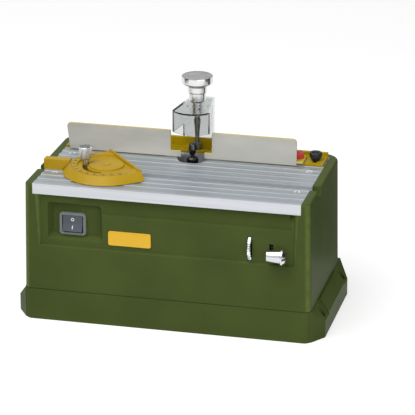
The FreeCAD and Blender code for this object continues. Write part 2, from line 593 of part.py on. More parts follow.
def make_table_screws():
    screws = []
    sunk = "(table_top - groove_sink)"
    for i, at in enumerate(table_screw_places()):
        head = taper(f"table_screw_head_{i}", "z", at, ("table_screw_radius", "table_screw_head"),
                     (f"{sunk} - table_screw_head + table_screw_radius", sunk))
        shank = rod(f"table_screw_shank_{i}", "z", at, "table_screw_radius",
                    ("table_top - table_screw_length", f"{sunk} - table_screw_head + table_screw_radius"))
        screws.append(join(f"table_screw_{i}", head, shank))
    return group("table_screws", *screws)


# Front fittings: bare label plate, rocker switch and the cord's gland
def make_label():
    return block("label_plate", ("label_x - label_width / 2", "label_x + label_width / 2"),
                 (f"{PANEL_FACE} - label_thick", PANEL_FACE), ("label_low", "label_low + label_height"))


def make_switch_bezel():
    floor = f"({FRONT} + bay_sink)"
    flange = block("bezel_flange", ("switch_x - bezel_width / 2", "switch_x + bezel_width / 2"),
                   (f"{floor} - bezel_thick", floor),
                   ("switch_z - bezel_height / 2", "switch_z + bezel_height / 2"))
    box = block("switch_box", ("switch_x - switch_width / 2", "switch_x + switch_width / 2"),
                (floor, f"{floor} + switch_deep"),
                ("switch_z - switch_height / 2", "switch_z + switch_height / 2"))
    well = block("rocker_well",
                 ("switch_x - rocker_width / 2 - rocker_play", "switch_x + rocker_width / 2 + rocker_play"),
                 (f"{floor} - bezel_thick - 1", f"{floor} + rocker_height / 2"),
                 ("switch_z - rocker_height / 2 - rocker_swing",
                  "switch_z + rocker_height / 2 + rocker_swing"))
    pin_half = "(rocker_width / 2 + pin_reach)"
    pin = rod("rocker_pin_hole", "x", (floor, "switch_z"), "pin_radius + pin_play",
              (f"switch_x - {pin_half} - pin_play", f"switch_x + {pin_half} + pin_play"))
    return carve("switch_bezel", join("switch_frame", flange, box), well, pin)


def make_rocker():
    tall = "(rocker_height / 2)"
    keel = "(rocker_keel_height / 2)"
    crest = "(-bezel_thick - rocker_rise)"
    paddle = padded("rocker_paddle", "x", [
        (crest, f"-{tall}"), ("-bezel_thick", "0"), (crest, tall),
        ("rocker_skirt", f"{tall} - rocker_draft"), ("rocker_keel", keel),
        ("rocker_keel", f"-{keel}"), ("rocker_skirt", f"rocker_draft - {tall}"),
    ], ("-rocker_width / 2", "rocker_width / 2"))
    pin = rod("rocker_pin", "x", ("0", "0"), "pin_radius",
              ("-rocker_width / 2 - pin_reach", "rocker_width / 2 + pin_reach"))
    rocker = join("switch_rocker", paddle, pin)
    rocker.Placement = FreeCAD.Placement(FreeCAD.Vector(), FreeCAD.Rotation(FreeCAD.Vector(-1, 0, 0), 1))
    tie(rocker, ".Placement.Rotation.Angle", "rocker_tilt")
    tie(rocker, ".Placement.Base.x", "switch_x")
    tie(rocker, ".Placement.Base.y", f"{FRONT} + bay_sink")
    tie(rocker, ".Placement.Base.z", "switch_z")
    return rocker


def make_gland():
    at = ("gland_x", "gland_z")
    collar = rod("gland_collar", "y", at, "gland_flange", (REAR, f"{REAR} + wall"))
    neck = rod("gland_neck", "y", at, "gland_radius", (f"{REAR} - wall", REAR))
    nut = rod("gland_nut", "y", at, "gland_flange", (f"{REAR} - 2 * wall", f"{REAR} - wall"))
    nose = taper("gland_sleeve", "y", at, ("gland_radius + gland_shoulder", "cord_radius + gland_lip"),
                 (f"{REAR} + wall", f"{REAR} + wall + gland_nose"))
    bore = rod("gland_bore", "y", at, "cord_radius",
               (f"{REAR} - 2 * wall - 1", f"{REAR} + wall + gland_nose + 1"))
    return carve("cable_gland", join("gland_body", collar, neck, nut, nose), bore)


# Height adjustment: columns, carriage with its rack, pinion, thumbwheel, clamp bolt and clamp lever
def make_columns():
    return group("guide_columns", *columns("guide_column", "column_radius", ("base_floor", SEAT)))


def rack_teeth():
    """Teeth of the rack, as one padded wire beside the pinion."""
    module = number("gear_module")
    pitch = math.pi * module
    slope = math.tan(math.radians(number("pressure_angle")))
    root_y = number(RACK_ROOT)
    dedendum = number("dedendum") * module
    tip_y = root_y - dedendum - module
    back_y = root_y + number("tooth_bite")
    half_pitch_line = (pitch / 2 - number("gear_backlash")) / 2
    half_tip = half_pitch_line - module * slope
    half_root = half_pitch_line + dedendum * slope
    reach_down = number("lift_up") + 2 * pitch
    reach_up = number("lift_down") + 2 * pitch
    x = number("pinion_x - pinion_width / 2")
    width = number("pinion_width")
    teeth = []
    for i in range(-math.ceil(reach_down / pitch), math.ceil(reach_up / pitch)):
        z = number("wheel_z") + (i + 0.5) * pitch
        outline = [(back_y, z - half_root), (root_y, z - half_root), (tip_y, z - half_tip),
                   (tip_y, z + half_tip), (root_y, z + half_root), (back_y, z + half_root)]
        points = [FreeCAD.Vector(x, y, height) for y, height in outline]
        face = Part.Face(Part.makePolygon(points + points[:1]))
        teeth.append(face.extrude(FreeCAD.Vector(width, 0, 0)))
    item = doc.addObject("Part::Feature", "rack_teeth")
    item.Shape = Part.makeCompound(teeth)
    return item


def make_carriage():
    half_x = "(carriage_length / 2)"
    half_y = "(carriage_width / 2)"
    plate = block("carriage_plate", (f"-{half_x}", half_x),
                  (f"{SPINDLE_Y} - {half_y}", f"{SPINDLE_Y} + {half_y}"), (CARRIAGE_LOW, "carriage_top"))
    sleeves = columns("carriage_sleeve", "sleeve_radius", (f"{CARRIAGE_LOW} - sleeve_length", CARRIAGE_LOW))
    leg_rear = f"({RACK_ROOT} + leg_thick)"
    arm = block("carriage_arm", ("arm_left", "arm_right"), (RACK_ROOT, f"{SPINDLE_Y} - {half_y}"),
                (CARRIAGE_LOW, "carriage_top"))
    bridge = block("carriage_bridge", ("arm_left", "lever_x + leg_width / 2"), (RACK_ROOT, leg_rear),
                   (CARRIAGE_LOW, "carriage_top"))
    legs = [block(f"carriage_leg_{name}", (f"{name} - leg_width / 2", f"{name} + leg_width / 2"),
                  (RACK_ROOT, leg_rear), ("leg_bottom", "carriage_top"))
            for name in ("pinion_x", "lever_x")]
    solid = join("carriage_solid", plate, *sleeves, arm, bridge, *legs, rack_teeth())
    cuts = columns("carriage_bore", "column_radius + running_fit",
                   (f"{CARRIAGE_LOW} - sleeve_length - 1", "carriage_top + 1"))
    cuts.append(rod("bearing_seat", "z", ("0", SPINDLE_Y), "bearing_radius",
                    ("carriage_top - bearing_width", "carriage_top + 1")))
    cuts.append(rod("carriage_hole", "z", ("0", SPINDLE_Y), "bearing_radius - bearing_lip",
                    (f"{CARRIAGE_LOW} - 1", "carriage_top")))
    cuts.append(rod("clamp_bolt_hole", "y", ("lever_x", "lever_z"), "clamp_bolt_radius",
                    (f"{RACK_ROOT} - 1", f"{leg_rear} + 1")))
    for i, at in enumerate(motor_screw_places()):
        cuts.append(rod(f"motor_screw_hole_{i}", "z", at, "motor_screw_radius",
                        (f"{CARRIAGE_LOW} - 1", "carriage_top + 1")))
    return carve("motor_carriage", solid, *cuts)


def involute_pinion():
    """Spur pinion with a tooth towards the rack, each flank one arc through three involute points."""
    module = number("gear_module")
    count = int(number("pinion_teeth"))
    pitch_radius = module * count / 2
    angle = math.radians(number("pressure_angle"))
    base_radius = pitch_radius * math.cos(angle)
    tip_radius = pitch_radius + module
    root_radius = pitch_radius - number("dedendum") * module
    half_tooth = math.pi / (2 * count) + math.tan(angle) - angle

    def flank(radius):
        roll = math.sqrt(max((radius / base_radius) ** 2 - 1, 0))
        return half_tooth - (roll - math.atan(roll))

    def point(radius, turn):
        return FreeCAD.Vector(0, radius * math.cos(turn), radius * math.sin(turn))

    middle = (max(base_radius, root_radius) + tip_radius) / 2
    start = max(base_radius, root_radius)
    edges = []
    for i in range(count):
        centre = 2 * math.pi * i / count
        following = 2 * math.pi * (i + 1) / count
        rising = [point(radius, centre - flank(radius)) for radius in (start, middle, tip_radius)]
        falling = [point(radius, centre + flank(radius)) for radius in (tip_radius, middle, start)]
        foot = point(root_radius, centre + half_tooth)
        next_foot = point(root_radius, following - half_tooth)
        edges.append(Part.Arc(*rising).toShape())
        edges.append(Part.Arc(rising[-1], point(tip_radius, centre), falling[0]).toShape())
        edges.append(Part.Arc(*falling).toShape())
        if start > root_radius:
            edges.append(Part.LineSegment(falling[-1], foot).toShape())
        edges.append(Part.Arc(foot, point(root_radius, (centre + following) / 2), next_foot).toShape())
        if start > root_radius:
            edges.append(Part.LineSegment(next_foot, point(start, following - flank(start))).toShape())
    blank = Part.Face(Part.Wire(edges)).extrude(FreeCAD.Vector(number("pinion_width"), 0, 0))
    item = doc.addObject("Part::Feature", "pinion_blank")
    item.Shape = blank
    tie(item, ".Placement.Base.x", "pinion_x - pinion_width / 2")
    tie(item, ".Placement.Base.y", WHEEL_Y)
    tie(item, ".Placement.Base.z", "wheel_z")
    return item


def make_pinion():
    bore = rod("pinion_bore", "x", (WHEEL_Y, "wheel_z"), "gear_shaft_radius",
               ("pinion_x - pinion_width", "pinion_x + pinion_width"))
    return carve("drive_pinion", involute_pinion(), bore)


def make_pinion_shaft():
    return rod("pinion_shaft", "x", (WHEEL_Y, "wheel_z"), "gear_shaft_radius",
               ("shaft_left", "shaft_right"))


def make_height_wheel():
    at = (WHEEL_Y, "wheel_z")
    disc = rod("wheel_disc", "x", at, "wheel_radius",
               ("wheel_x - wheel_width / 2", "wheel_x + wheel_width / 2"))
    bore = rod("wheel_bore", "x", at, "gear_shaft_radius",
               ("wheel_x - wheel_width", "wheel_x + wheel_width"))
    return carve("height_wheel", disc, bore)


def make_clamp_bolt():
    at = ("lever_x", "lever_z")
    leg_rear = f"({RACK_ROOT} + leg_thick)"
    shank = rod("clamp_bolt_shank", "y", at, "clamp_bolt_radius", (f"{GRIP_Y} - clamp_bolt_end", leg_rear))
    head = rod("clamp_bolt_head", "y", at, "clamp_bolt_head",
               (leg_rear, f"{leg_rear} + clamp_bolt_head_height"))
    return join("clamp_bolt", shank, head)


def make_clamp_lever():
    at = (GRIP_Y, "lever_z")
    wide_end = "(lever_x - grip_tail + grip_length)"
    hub = rod("lever_hub", "y", ("lever_x", "lever_z"), "hub_radius", (GRIP_Y, f"{PANEL_FACE} - hub_gap"))
    grip = taper("lever_grip", "x", at, ("grip_neck", "grip_wide"), ("lever_x - grip_tail", wide_end))
    flange = rod("lever_flange", "x", at, "grip_flange", (wide_end, f"{wide_end} + grip_flange_thick"))
    dome = taper("lever_dome", "x", at, ("grip_flange - grip_rim", "grip_wide / 2"),
                 (f"{wide_end} + grip_flange_thick", f"{wide_end} + grip_flange_thick + grip_dome"))
    bore = rod("lever_bore", "y", ("lever_x", "lever_z"), "clamp_bolt_radius + running_fit",
               (f"{GRIP_Y} - clamp_bolt_end - running_fit", PANEL_FACE))
    return carve("clamp_lever", join("lever_solid", hub, grip, flange, dome), bore)


# Motor: can, end cap, magnets, brushes and bearings on the carriage
def ring(inner, outer, low, high):
    return [(inner, low), (outer, low), (outer, high), (inner, high)]


def make_motor_can():
    return turned("motor_can", ("0", SPINDLE_Y),
                  ring("can_radius - can_wall", "can_radius", "can_bottom", CARRIAGE_LOW))


def make_end_cap():
    low = "(can_bottom - cap_height)"
    return turned("motor_end_cap", ("0", SPINDLE_Y), [
        ("bearing_radius", f"{low} + cap_height - bearing_width"), ("bearing_radius", "can_bottom"),
        ("can_radius", "can_bottom"), ("can_radius", low), ("spindle_radius + shaft_clearance", low),
        ("spindle_radius + shaft_clearance", f"{low} + cap_height - bearing_width"),
    ])


def make_bearing(name, low):
    return turned(name, ("0", SPINDLE_Y),
                  ring("spindle_radius + running_fit", "bearing_radius", low, f"{low} + bearing_width"))


def make_magnets():
    liner = turned("magnet_ring", ("0", SPINDLE_Y),
                   ring("magnet_inner", "can_radius - can_wall", "armature_low", "armature_high"))
    gap = block("magnet_split", ("-magnet_gap / 2", "magnet_gap / 2"),
                (f"{SPINDLE_Y} - can_radius", f"{SPINDLE_Y} + can_radius"),
                ("armature_low - 1", "armature_high + 1"))
    return carve("motor_magnets", liner, gap)


def brush_bars(name, near, far, size):
    """Square bars on both sides of the commutator."""
    middle = "(can_bottom + commutator_height / 2)"
    up = (f"{middle} - {size} / 2", f"{middle} + {size} / 2")
    along = (f"{SPINDLE_Y} - {size} / 2", f"{SPINDLE_Y} + {size} / 2")
    return [block(f"{name}_left", (f"-({far})", f"-({near})"), along, up),
            block(f"{name}_right", (near, far), along, up)]


def make_brushes():
    return group("carbon_brushes", *brush_bars("brush", "commutator_radius + brush_gap",
                                               "can_radius - can_wall - brush_stop", "brush_size"))


def make_brush_holders():
    size = "(brush_size + 2 * holder_wall)"
    outer = brush_bars("holder", "commutator_radius + holder_gap",
                       "can_radius - can_wall - holder_play", size)
    inner = brush_bars("holder_bore", "commutator_radius", "can_radius - can_wall - brush_stop", "brush_size")
    feet = [block(f"holder_foot_{side}",
                  (f"{sx} * holder_foot_x - holder_foot / 2", f"{sx} * holder_foot_x + holder_foot / 2"),
                  (f"{SPINDLE_Y} - holder_foot / 2", f"{SPINDLE_Y} + holder_foot / 2"),
                  ("can_bottom", f"can_bottom + commutator_height / 2 - {size} / 2"))
            for side, sx in SIDES.items()]
    holders = [carve(f"brush_holder_{side}", join(f"holder_solid_{side}", outer[i], feet[i]), inner[i])
               for i, side in enumerate(SIDES)]
    return group("brush_holders", *holders)


def make_motor_screws():
    screws = []
    for i, at in enumerate(motor_screw_places()):
        shank = rod(f"motor_screw_shank_{i}", "z", at, "motor_screw_radius",
                    ("carriage_top - motor_screw_length", "carriage_top"))
        head = rod(f"motor_screw_head_{i}", "z", at, "motor_screw_head",
                   ("carriage_top", "carriage_top + motor_screw_cap"))
        screws.append(join(f"motor_screw_{i}", shank, head))
    return group("motor_screws", *screws)


def make_motor_lid():
    """Inner flange that the motor screws pull against the carriage."""
    low = f"({CARRIAGE_LOW} - lid_thick)"
    disc = turned("can_lid_disc", ("0", SPINDLE_Y),
                  ring("bearing_radius", "can_radius - can_wall", low, CARRIAGE_LOW))
    holes = [rod(f"can_lid_hole_{i}", "z", at, "motor_screw_radius", (f"{low} - 1", f"{CARRIAGE_LOW} + 1"))
             for i, at in enumerate(motor_screw_places())]
    return carve("motor_lid", disc, *holes)


# Spindle: everything that turns with the cutter
def make_spindle_shaft():
    low = "(can_bottom - cap_height - shaft_stub)"
    seat_low = "(collet_top - collet_length)"
    collar_low = "(carriage_top + collar_gap)"
    high = "(collet_top - collet_stand)"
    shaft = turned("shaft_blank", ("0", SPINDLE_Y), [
        ("0", low), ("spindle_radius", low), ("spindle_radius", collar_low),
        ("collet_seat_radius", collar_low), ("collet_seat_radius", high), ("0", high),
    ])
    seat = taper("collet_seat", "z", ("0", SPINDLE_Y), ("collet_small + fit", "collet_large + fit"),
                 (seat_low, "collet_top"))
    bore = rod("collet_bore", "z", ("0", SPINDLE_Y), "shank_radius + fit",
               (f"{seat_low} - shank_below", "collet_top"))
    return carve("spindle_shaft", shaft, seat, bore)


def make_armature_core():
    core = turned("armature_blank", ("0", SPINDLE_Y),
                  ring("spindle_radius", "armature_radius", "armature_low", "armature_high"))
    slots = []
    count = int(number("armature_slots"))
    root = "(armature_radius - slot_deep)"
    half = "(slot_width / 2)"
    for i in range(count):
        turn = 360 * i / count
        slot = block(f"armature_slot_{i}", (root, "armature_radius + 1"), (f"-{half}", half),
                     ("armature_low - 1", "armature_high + 1"))
        tie(slot, ".Placement.Base.x", f"{root} * cos({turn}) + {half} * sin({turn})")
        tie(slot, ".Placement.Base.y", f"{SPINDLE_Y} + {root} * sin({turn}) - {half} * cos({turn})")
        slot.Placement.Rotation = FreeCAD.Rotation(FreeCAD.Vector(0, 0, 1), turn)
        slots.append(slot)
    return carve("armature_core", core, *slots)


def make_windings():
    at = ("0", SPINDLE_Y)
    rings = [turned(f"winding_{side}", at, ring("spindle_radius", "winding_radius", low, high))
             for side, low, high in (("low", "armature_low - winding_height", "armature_low"),
                                     ("high", "armature_high", "armature_high + winding_height"))]
    return group("armature_windings", *rings)


def make_commutator():
    return turned("commutator", ("0", SPINDLE_Y),
                  ring("spindle_radius", "commutator_radius",
                       "can_bottom + collar_gap", "can_bottom + commutator_height"))


def make_fan():
    low = "(armature_high + winding_height + fan_gap)"
    high = f"({low} + fan_thick)"
    hub = "(spindle_radius + fan_hub)"
    disc = turned("fan_disc", ("0", SPINDLE_Y), [
        ("spindle_radius", low), ("fan_radius", low), ("fan_radius", f"{low} + fan_plate"),
        (hub, f"{low} + fan_plate"), (hub, high), ("spindle_radius", high),
    ])
    blades = []
    count = int(number("fan_blades"))
    root = "(spindle_radius + blade_root)"
    for i in range(count):
        turn = 360 * i / count
        blade = block(f"fan_blade_{i}", (root, "fan_radius - blade_margin"), ("0", "blade_thick"),
                      (low, high))
        tie(blade, ".Placement.Base.x", f"{root} * cos({turn})")
        tie(blade, ".Placement.Base.y", f"{SPINDLE_Y} + {root} * sin({turn})")
        blade.Placement.Rotation = FreeCAD.Rotation(FreeCAD.Vector(0, 0, 1), turn)
        blades.append(blade)
    return join("cooling_fan", disc, *blades)


def make_collet():
    seat_low = "(collet_top - collet_length)"
    return turned("collet", ("0", SPINDLE_Y), [
        ("shank_radius", seat_low), ("collet_small", seat_low), ("collet_large", "collet_top"),
        ("shank_radius", "collet_top"),
    ])


def make_collet_nut():
    low = "(nut_top - nut_height)"
    inner = "(shank_radius + nut_play)"
    return turned("collet_nut", ("0", SPINDLE_Y), [
        ("collet_seat_radius", low), ("nut_radius", low), ("nut_radius", "nut_top - nut_bevel_height"),
        ("nut_radius - nut_bevel", "nut_top"), (inner, "nut_top"), (inner, "collet_top"),
        ("collet_seat_radius", "collet_top"),
    ])


def make_cutter():
    shank_low = "(collet_top - collet_length)"
    edge_low = "(cutter_low + cutter_runout)"
    bit = turned("cutter_blank", ("0", SPINDLE_Y), [
        ("0", shank_low), ("shank_radius", shank_low), ("shank_radius", "cutter_low"),
        ("cutter_neck", edge_low), ("cutter_radius", "(cutter_low + cutter_high) / 2"),
        ("cutter_shoulder", "cutter_high - cutter_point"), ("cutter_tip", "cutter_high"),
        ("0", "cutter_high"),
    ])
    up = (edge_low, "cutter_high + 1")
    flutes = [
        block("cutter_flute_left", ("-cutter_radius - 1", "-cutter_web"),
              (f"{SPINDLE_Y} - flute", SPINDLE_Y), up),
        block("cutter_flute_right", ("cutter_web", "cutter_radius + 1"),
              (SPINDLE_Y, f"{SPINDLE_Y} + flute"), up),
    ]
    return carve("profile_cutter", bit, *flutes)


def make_board():
    along = ("-board_width / 2", "board_width / 2")
    across = ("board_x - board_length / 2", "board_x + board_length / 2")
    deck = "(base_floor + standoff)"
    face = f"({deck} + board_thick)"
    board = block("board_plate", across, along, (deck, face))
    foot_places = four("(board_length - 2 * board_foot_inset)", "(board_width - 2 * board_foot_inset)")
    feet = [rod(f"board_foot_{i}", "z", (f"board_x + {x}", y), "board_foot_radius", ("base_floor", deck))
            for i, (x, y) in enumerate(foot_places)]
    bridge = block("board_bridge", ("board_x - rectifier_size / 2", "board_x + rectifier_size / 2"),
                   ("-rectifier_size / 2", "rectifier_size / 2"), (face, f"{face} + rectifier_height"))
    return join("rectifier_board", board, *feet, bridge)


# Fence: carrier, two sliding plates, their locks and the clamps that hold the carrier to the table
def make_carrier():
    half = "(carrier_length / 2)"
    flange = block("carrier_flange", (f"-{half}", half),
                   (f"{FRONT} + carrier_front", f"{FRONT} + carrier_rear"), (FLANGE_LOW, FLANGE_TOP))
    back = (f"{FRONT} + wall_setback", f"{FRONT} + wall_setback + carrier_wall")
    wall = block("carrier_back", (f"-{half}", half), back, (FLANGE_LOW, "table_top + arm_height"))
    crown = block("carrier_crown", ("-crown_length / 2", "crown_length / 2"), back,
                  (FLANGE_LOW, "table_top + crown_height"))
    up = (f"{FLANGE_LOW} - 1", f"{FLANGE_TOP} + 1")
    cuts = [
        block("carrier_mouth", ("-mouth_length / 2", "mouth_length / 2"),
              (f"{FRONT} + carrier_front - 1", f"{FRONT} + mouth_rear"), up),
        rod("post_thread", "z", ("0", POST_Y), "post_waist", up),
    ]
    gap = "(stud_radius + stud_play)"
    y = "(clamp_setback - depth / 2)"
    for side, sign in SIDES.items():
        x = f"{sign} * clamp_span / 2"
        cuts.append(block(f"clamp_slot_{side}", (f"{x} - {gap}", f"{x} + {gap}"),
                          (f"{y} - fence_travel - {gap}", f"{y} + fence_travel + {gap}"), up))
        cuts.append(rod(f"lock_thread_{side}", "z", (f"{sign} * lock_span / 2", "lock_setback - depth / 2"),
                        "stud_radius + running_fit", up))
    return carve("fence_carrier", join("carrier_solid", flange, wall, crown), *cuts)


def make_plate(side, end, gap, tab, lean):
    """Fence plate with a low tab towards the cutter and a slotted foot behind it."""
    sign = SIDES[side]
    low = "(table_top + plate_lift)"
    high = f"({low} + plate_height)"
    face = f"({FRONT} + fence_setback)"
    step = f"({low} + tab_height)"
    corner = "(plate_round * (1 - cos(45)))"
    sheet_metal = padded(f"{side}_plate_sheet", "y", [
        (f"{sign} * ({end} - {lean})", low), (f"{sign} * {end}", f"{high} - plate_round"),
        (f"{sign} * ({end} - {corner})", f"{high} - {corner}"),
        (f"{sign} * ({end} - plate_round)", high), (f"{sign} * {gap}", high),
        (f"{sign} * {gap}", step), (f"{sign} * {tab}", step), (f"{sign} * {tab}", low),
    ], (face, f"{face} + plate_thick"))
    near, far = ("foot_near", "foot_far") if sign > 0 else ("-foot_far", "-foot_near")
    foot = block(f"{side}_plate_foot", (near, far), (face, f"{FRONT} + foot_rear"), (FOOT_LOW, FOOT_TOP))
    x = f"{sign} * lock_span / 2"
    y = "(lock_setback - depth / 2)"
    gap_half = "(stud_radius + stud_play)"
    slot = block(f"{side}_plate_slot",
                 (f"{x} - plate_travel - {gap_half}", f"{x} + plate_travel + {gap_half}"),
                 (f"{y} - {gap_half}", f"{y} + {gap_half}"), (f"{FOOT_LOW} - 1", f"{FOOT_TOP} + 1"))
    return carve(f"{side}_fence_plate", join(f"{side}_plate_solid", sheet_metal, foot), slot)


def make_lock(side):
    low = f"({FOOT_TOP} + knob_gap)"
    high = f"({low} + lock_height)"
    return turned(f"{side}_plate_lock", (f"{SIDES[side]} * lock_span / 2", "lock_setback - depth / 2"), [
        ("0", FLANGE_LOW), ("stud_radius", FLANGE_LOW), ("stud_radius", low), ("lock_radius", low),
        ("lock_radius", f"{high} - knob_edge"), ("lock_radius - knob_edge", high), ("0", high),
    ])


def make_clamp_knob(side):
    low = f"({FLANGE_TOP} + knob_gap)"
    high = f"({low} + clamp_height)"
    return turned(f"{side}_clamp_knob", (f"{SIDES[side]} * clamp_span / 2", "clamp_setback - depth / 2"), [
        ("0", SEAT), ("stud_radius", SEAT), ("stud_radius", low), ("clamp_waist", low),
        ("clamp_radius", f"{low} + clamp_flare"), ("clamp_radius", f"{high} - clamp_crown"),
        ("clamp_waist", high), ("0", high),
    ])


# Cutter guard: clear hood that rides on a post, and the knob that holds it
def hood_volume(name, inset, low, high):
    """Tapered plan with a rounded nose, drawn in by an inset."""
    nose_y = f"({FRONT} + hood_nose + nose_radius)"
    rear_y = f"({FRONT} + hood_rear - {inset})"
    wide = f"(hood_front_width / 2 - {inset})"
    narrow = f"(hood_rear_width / 2 - {inset})"
    plan = padded(f"{name}_plan", "z", [
        (f"-{wide}", f"{FRONT} + hood_nose"), (wide, f"{FRONT} + hood_nose"),
        (narrow, rear_y), (f"-{narrow}", rear_y),
    ], (low, high))
    nose = rod(f"{name}_nose", "z", ("0", nose_y), f"nose_radius - {inset}", (low, high))
    back = block(f"{name}_back", ("-hood_front_width", "hood_front_width"), (nose_y, f"{rear_y} + 1"),
                 (low, high))
    return overlap(name, plan, join(f"{name}_front", nose, back))


def make_hood():
    at = ("0", POST_Y)
    shell = carve("hood_shell", hood_volume("hood_outside", "0", "tail_low", "hood_top"),
                  hood_volume("hood_inside", "hood_wall", "tail_low - 1", "hood_top - hood_roof"))
    boss_top = "(hood_top + hood_boss_rise)"
    boss = rod("hood_boss", "z", at, "hood_boss_radius", ("hood_top - hood_roof", boss_top))
    kept = overlap("hood_boss_trim", boss, hood_volume("hood_limit", "0", "hood_bottom", boss_top))
    across = ("-hood_front_width", "hood_front_width")
    skirt_y = f"({FRONT} + skirt_front)"
    tail_y = f"({FRONT} + wall_setback + carrier_wall + tail_gap)"
    visor_cut = block("visor_cut", across, (FRONT, skirt_y), ("tail_low - 1", "hood_bottom"))
    skirt_cut = block("skirt_cut", across, (f"{skirt_y} - 1", tail_y), ("tail_low - 1", "skirt_low"))
    hole = rod("hood_hole", "z", at, "bush_radius", ("hood_bottom", f"{boss_top} + 1"))
    return carve("guard_hood", join("hood_solid", shell, kept), visor_cut, skirt_cut, hole)


def make_bush():
    return turned("guard_bush", ("0", POST_Y),
                  ring("post_rod + bush_play", "bush_radius", "bush_low", "bush_high"))


def make_post():
    foot_top = f"({FLANGE_TOP} + post_foot_height)"
    return turned("guard_post", ("0", POST_Y), [
        ("0", FLANGE_LOW), ("post_waist", FLANGE_LOW), ("post_waist", FLANGE_TOP), ("post_foot", FLANGE_TOP),
        ("post_foot", foot_top), ("post_waist", foot_top), ("post_waist", "post_waist_top"),
        ("post_swell", "post_head_low"), ("post_head", "post_head_low"), ("post_head", "post_head_high"),
        ("post_rod", "post_head_high"), ("post_rod", "post_top"), ("0", "post_top"),
    ])


def make_guard_knob():
    rim_low = "(knob_top - knob_rim)"
    inner = "(post_rod + bush_play)"
    bore_end = "(post_top + knob_gap)"
    return turned("guard_knob", ("0", POST_Y), [
        (inner, "knob_low"), ("knob_foot", "knob_low"), ("knob_neck", "knob_neck_low"),
        ("knob_neck", "knob_collar_low"), ("knob_collar", "knob_collar_low"),
        ("knob_collar", f"{rim_low} - knob_under"),
        ("knob_radius - 2 * knob_bevel", f"{rim_low} - knob_under / 2"),
        ("knob_radius - knob_bevel / 2", rim_low), ("knob_radius", f"{rim_low} + knob_bevel"),
        ("knob_radius", "knob_top - knob_bevel / 2"), ("knob_radius - knob_bevel / 2", "knob_top"),
        ("0", "knob_top"), ("0", bore_end), (inner, bore_end),
    ])


# Mitre gauge: bar in the slot, turning head, pivot screw and clamp knob
def make_mitre_bar():
    along = (f"{BAR_Y} - bar_width / 2", f"{BAR_Y} + bar_width / 2")
    tongue = block("bar_tongue", ("bar_left", "bar_right"), along, (BAR_LOW, "table_top"))
    rise = block("bar_rise_block", ("bar_left", "bar_block_end"), along,
                 ("table_top", "table_top + bar_rise"))
    pivot = ("pivot_x", BAR_Y)
    sweep = turned("head_sweep", pivot, [
        ("0", "table_top"), ("head_radius + head_play", "table_top"), ("head_radius + head_play", HEAD_LOW),
        ("head_top_radius + head_play", HEAD_TOP),
        ("head_top_radius + head_play", "table_top + bar_rise + 1"), ("0", "table_top + bar_rise + 1"),
    ])
    holes = [
        rod("pivot_thread", "z", pivot, "pivot_radius", (f"{BAR_LOW} - 1", "table_top + 1")),
        rod("mitre_thread", "z", ("pivot_x - arc_radius", BAR_Y), "stud_radius + running_fit",
            (f"{BAR_LOW} - 1", "table_top + 1")),
    ]
    return carve("mitre_bar", join("bar_solid", tongue, carve("bar_block", rise, sweep)), *holes)


def make_mitre_head():
    """Half-round head with its straight face towards local +X, turned about the pivot."""
    cone = turned("head_cone", ("0", "0"), [
        ("0", HEAD_LOW), ("head_radius", HEAD_LOW), ("head_top_radius", HEAD_TOP), ("0", HEAD_TOP)])
    round_half = carve("head_round", cone, block("head_front_cut", ("0", "head_radius + 1"),
                                                 ("-head_radius - 1", "head_radius + 1"),
                                                 (f"{HEAD_LOW} - 1", f"{HEAD_TOP} + 1")))
    straight = padded("head_straight", "x", [
        ("-head_radius", HEAD_LOW), ("head_radius", HEAD_LOW), ("head_top_radius", HEAD_TOP),
        ("-head_top_radius", HEAD_TOP)], ("0", "face_offset"))
    wall = block("head_wall", ("face_offset - face_wall", "face_offset"),
                 ("-head_top_radius", "head_top_radius"), (HEAD_LOW, f"{HEAD_TOP} + face_rise"))
    up = (f"{HEAD_TOP} - pit_sink", f"{HEAD_TOP} + 1")
    pit = carve("head_pit_ring", rod("head_pit", "z", ("0", "0"), "pit_radius", up),
                rod("head_plateau", "z", ("0", "0"), "plateau_radius", up),
                block("head_pit_limit", ("face_offset - face_wall", "pit_radius + 1"),
                      ("-pit_radius - 1", "pit_radius + 1"), up))
    through = (f"{HEAD_LOW} - 1", f"{HEAD_TOP} + 1")
    arc = carve("head_arc", rod("arc_outer", "z", ("0", "0"), "arc_radius + arc_width / 2", through),
                rod("arc_inner", "z", ("0", "0"), "arc_radius - arc_width / 2", through))
    arc.Base.Placement.Rotation = FreeCAD.Rotation(FreeCAD.Vector(0, 0, 1), 1)
    tie(arc.Base, "Angle", "arc_span")
    tie(arc.Base, ".Placement.Rotation.Angle", "180 - arc_span / 2")
    bore = rod("head_bore", "z", ("0", "0"), "pivot_radius + running_fit", through)
    head = carve("mitre_head", join("head_solid", round_half, straight, wall), pit, arc, bore)
    head.Placement = FreeCAD.Placement(FreeCAD.Vector(), FreeCAD.Rotation(FreeCAD.Vector(0, 0, 1), 1))
    tie(head, ".Placement.Rotation.Angle", "mitre_turn")
    tie(head, ".Placement.Base.x", "pivot_x")
    tie(head, ".Placement.Base.y", BAR_Y)
    return head


def make_pivot_screw():
    head_low = f"({HEAD_TOP} + knob_gap)"
    high = f"({head_low} + pivot_head_height)"
    return turned("mitre_pivot_screw", ("pivot_x", BAR_Y), [
        ("0", BAR_LOW), ("pivot_radius", BAR_LOW), ("pivot_radius", head_low), ("pivot_head", head_low),
        ("pivot_head", f"({head_low} + {high}) / 2"), ("pivot_radius", high), ("0", high),
    ])


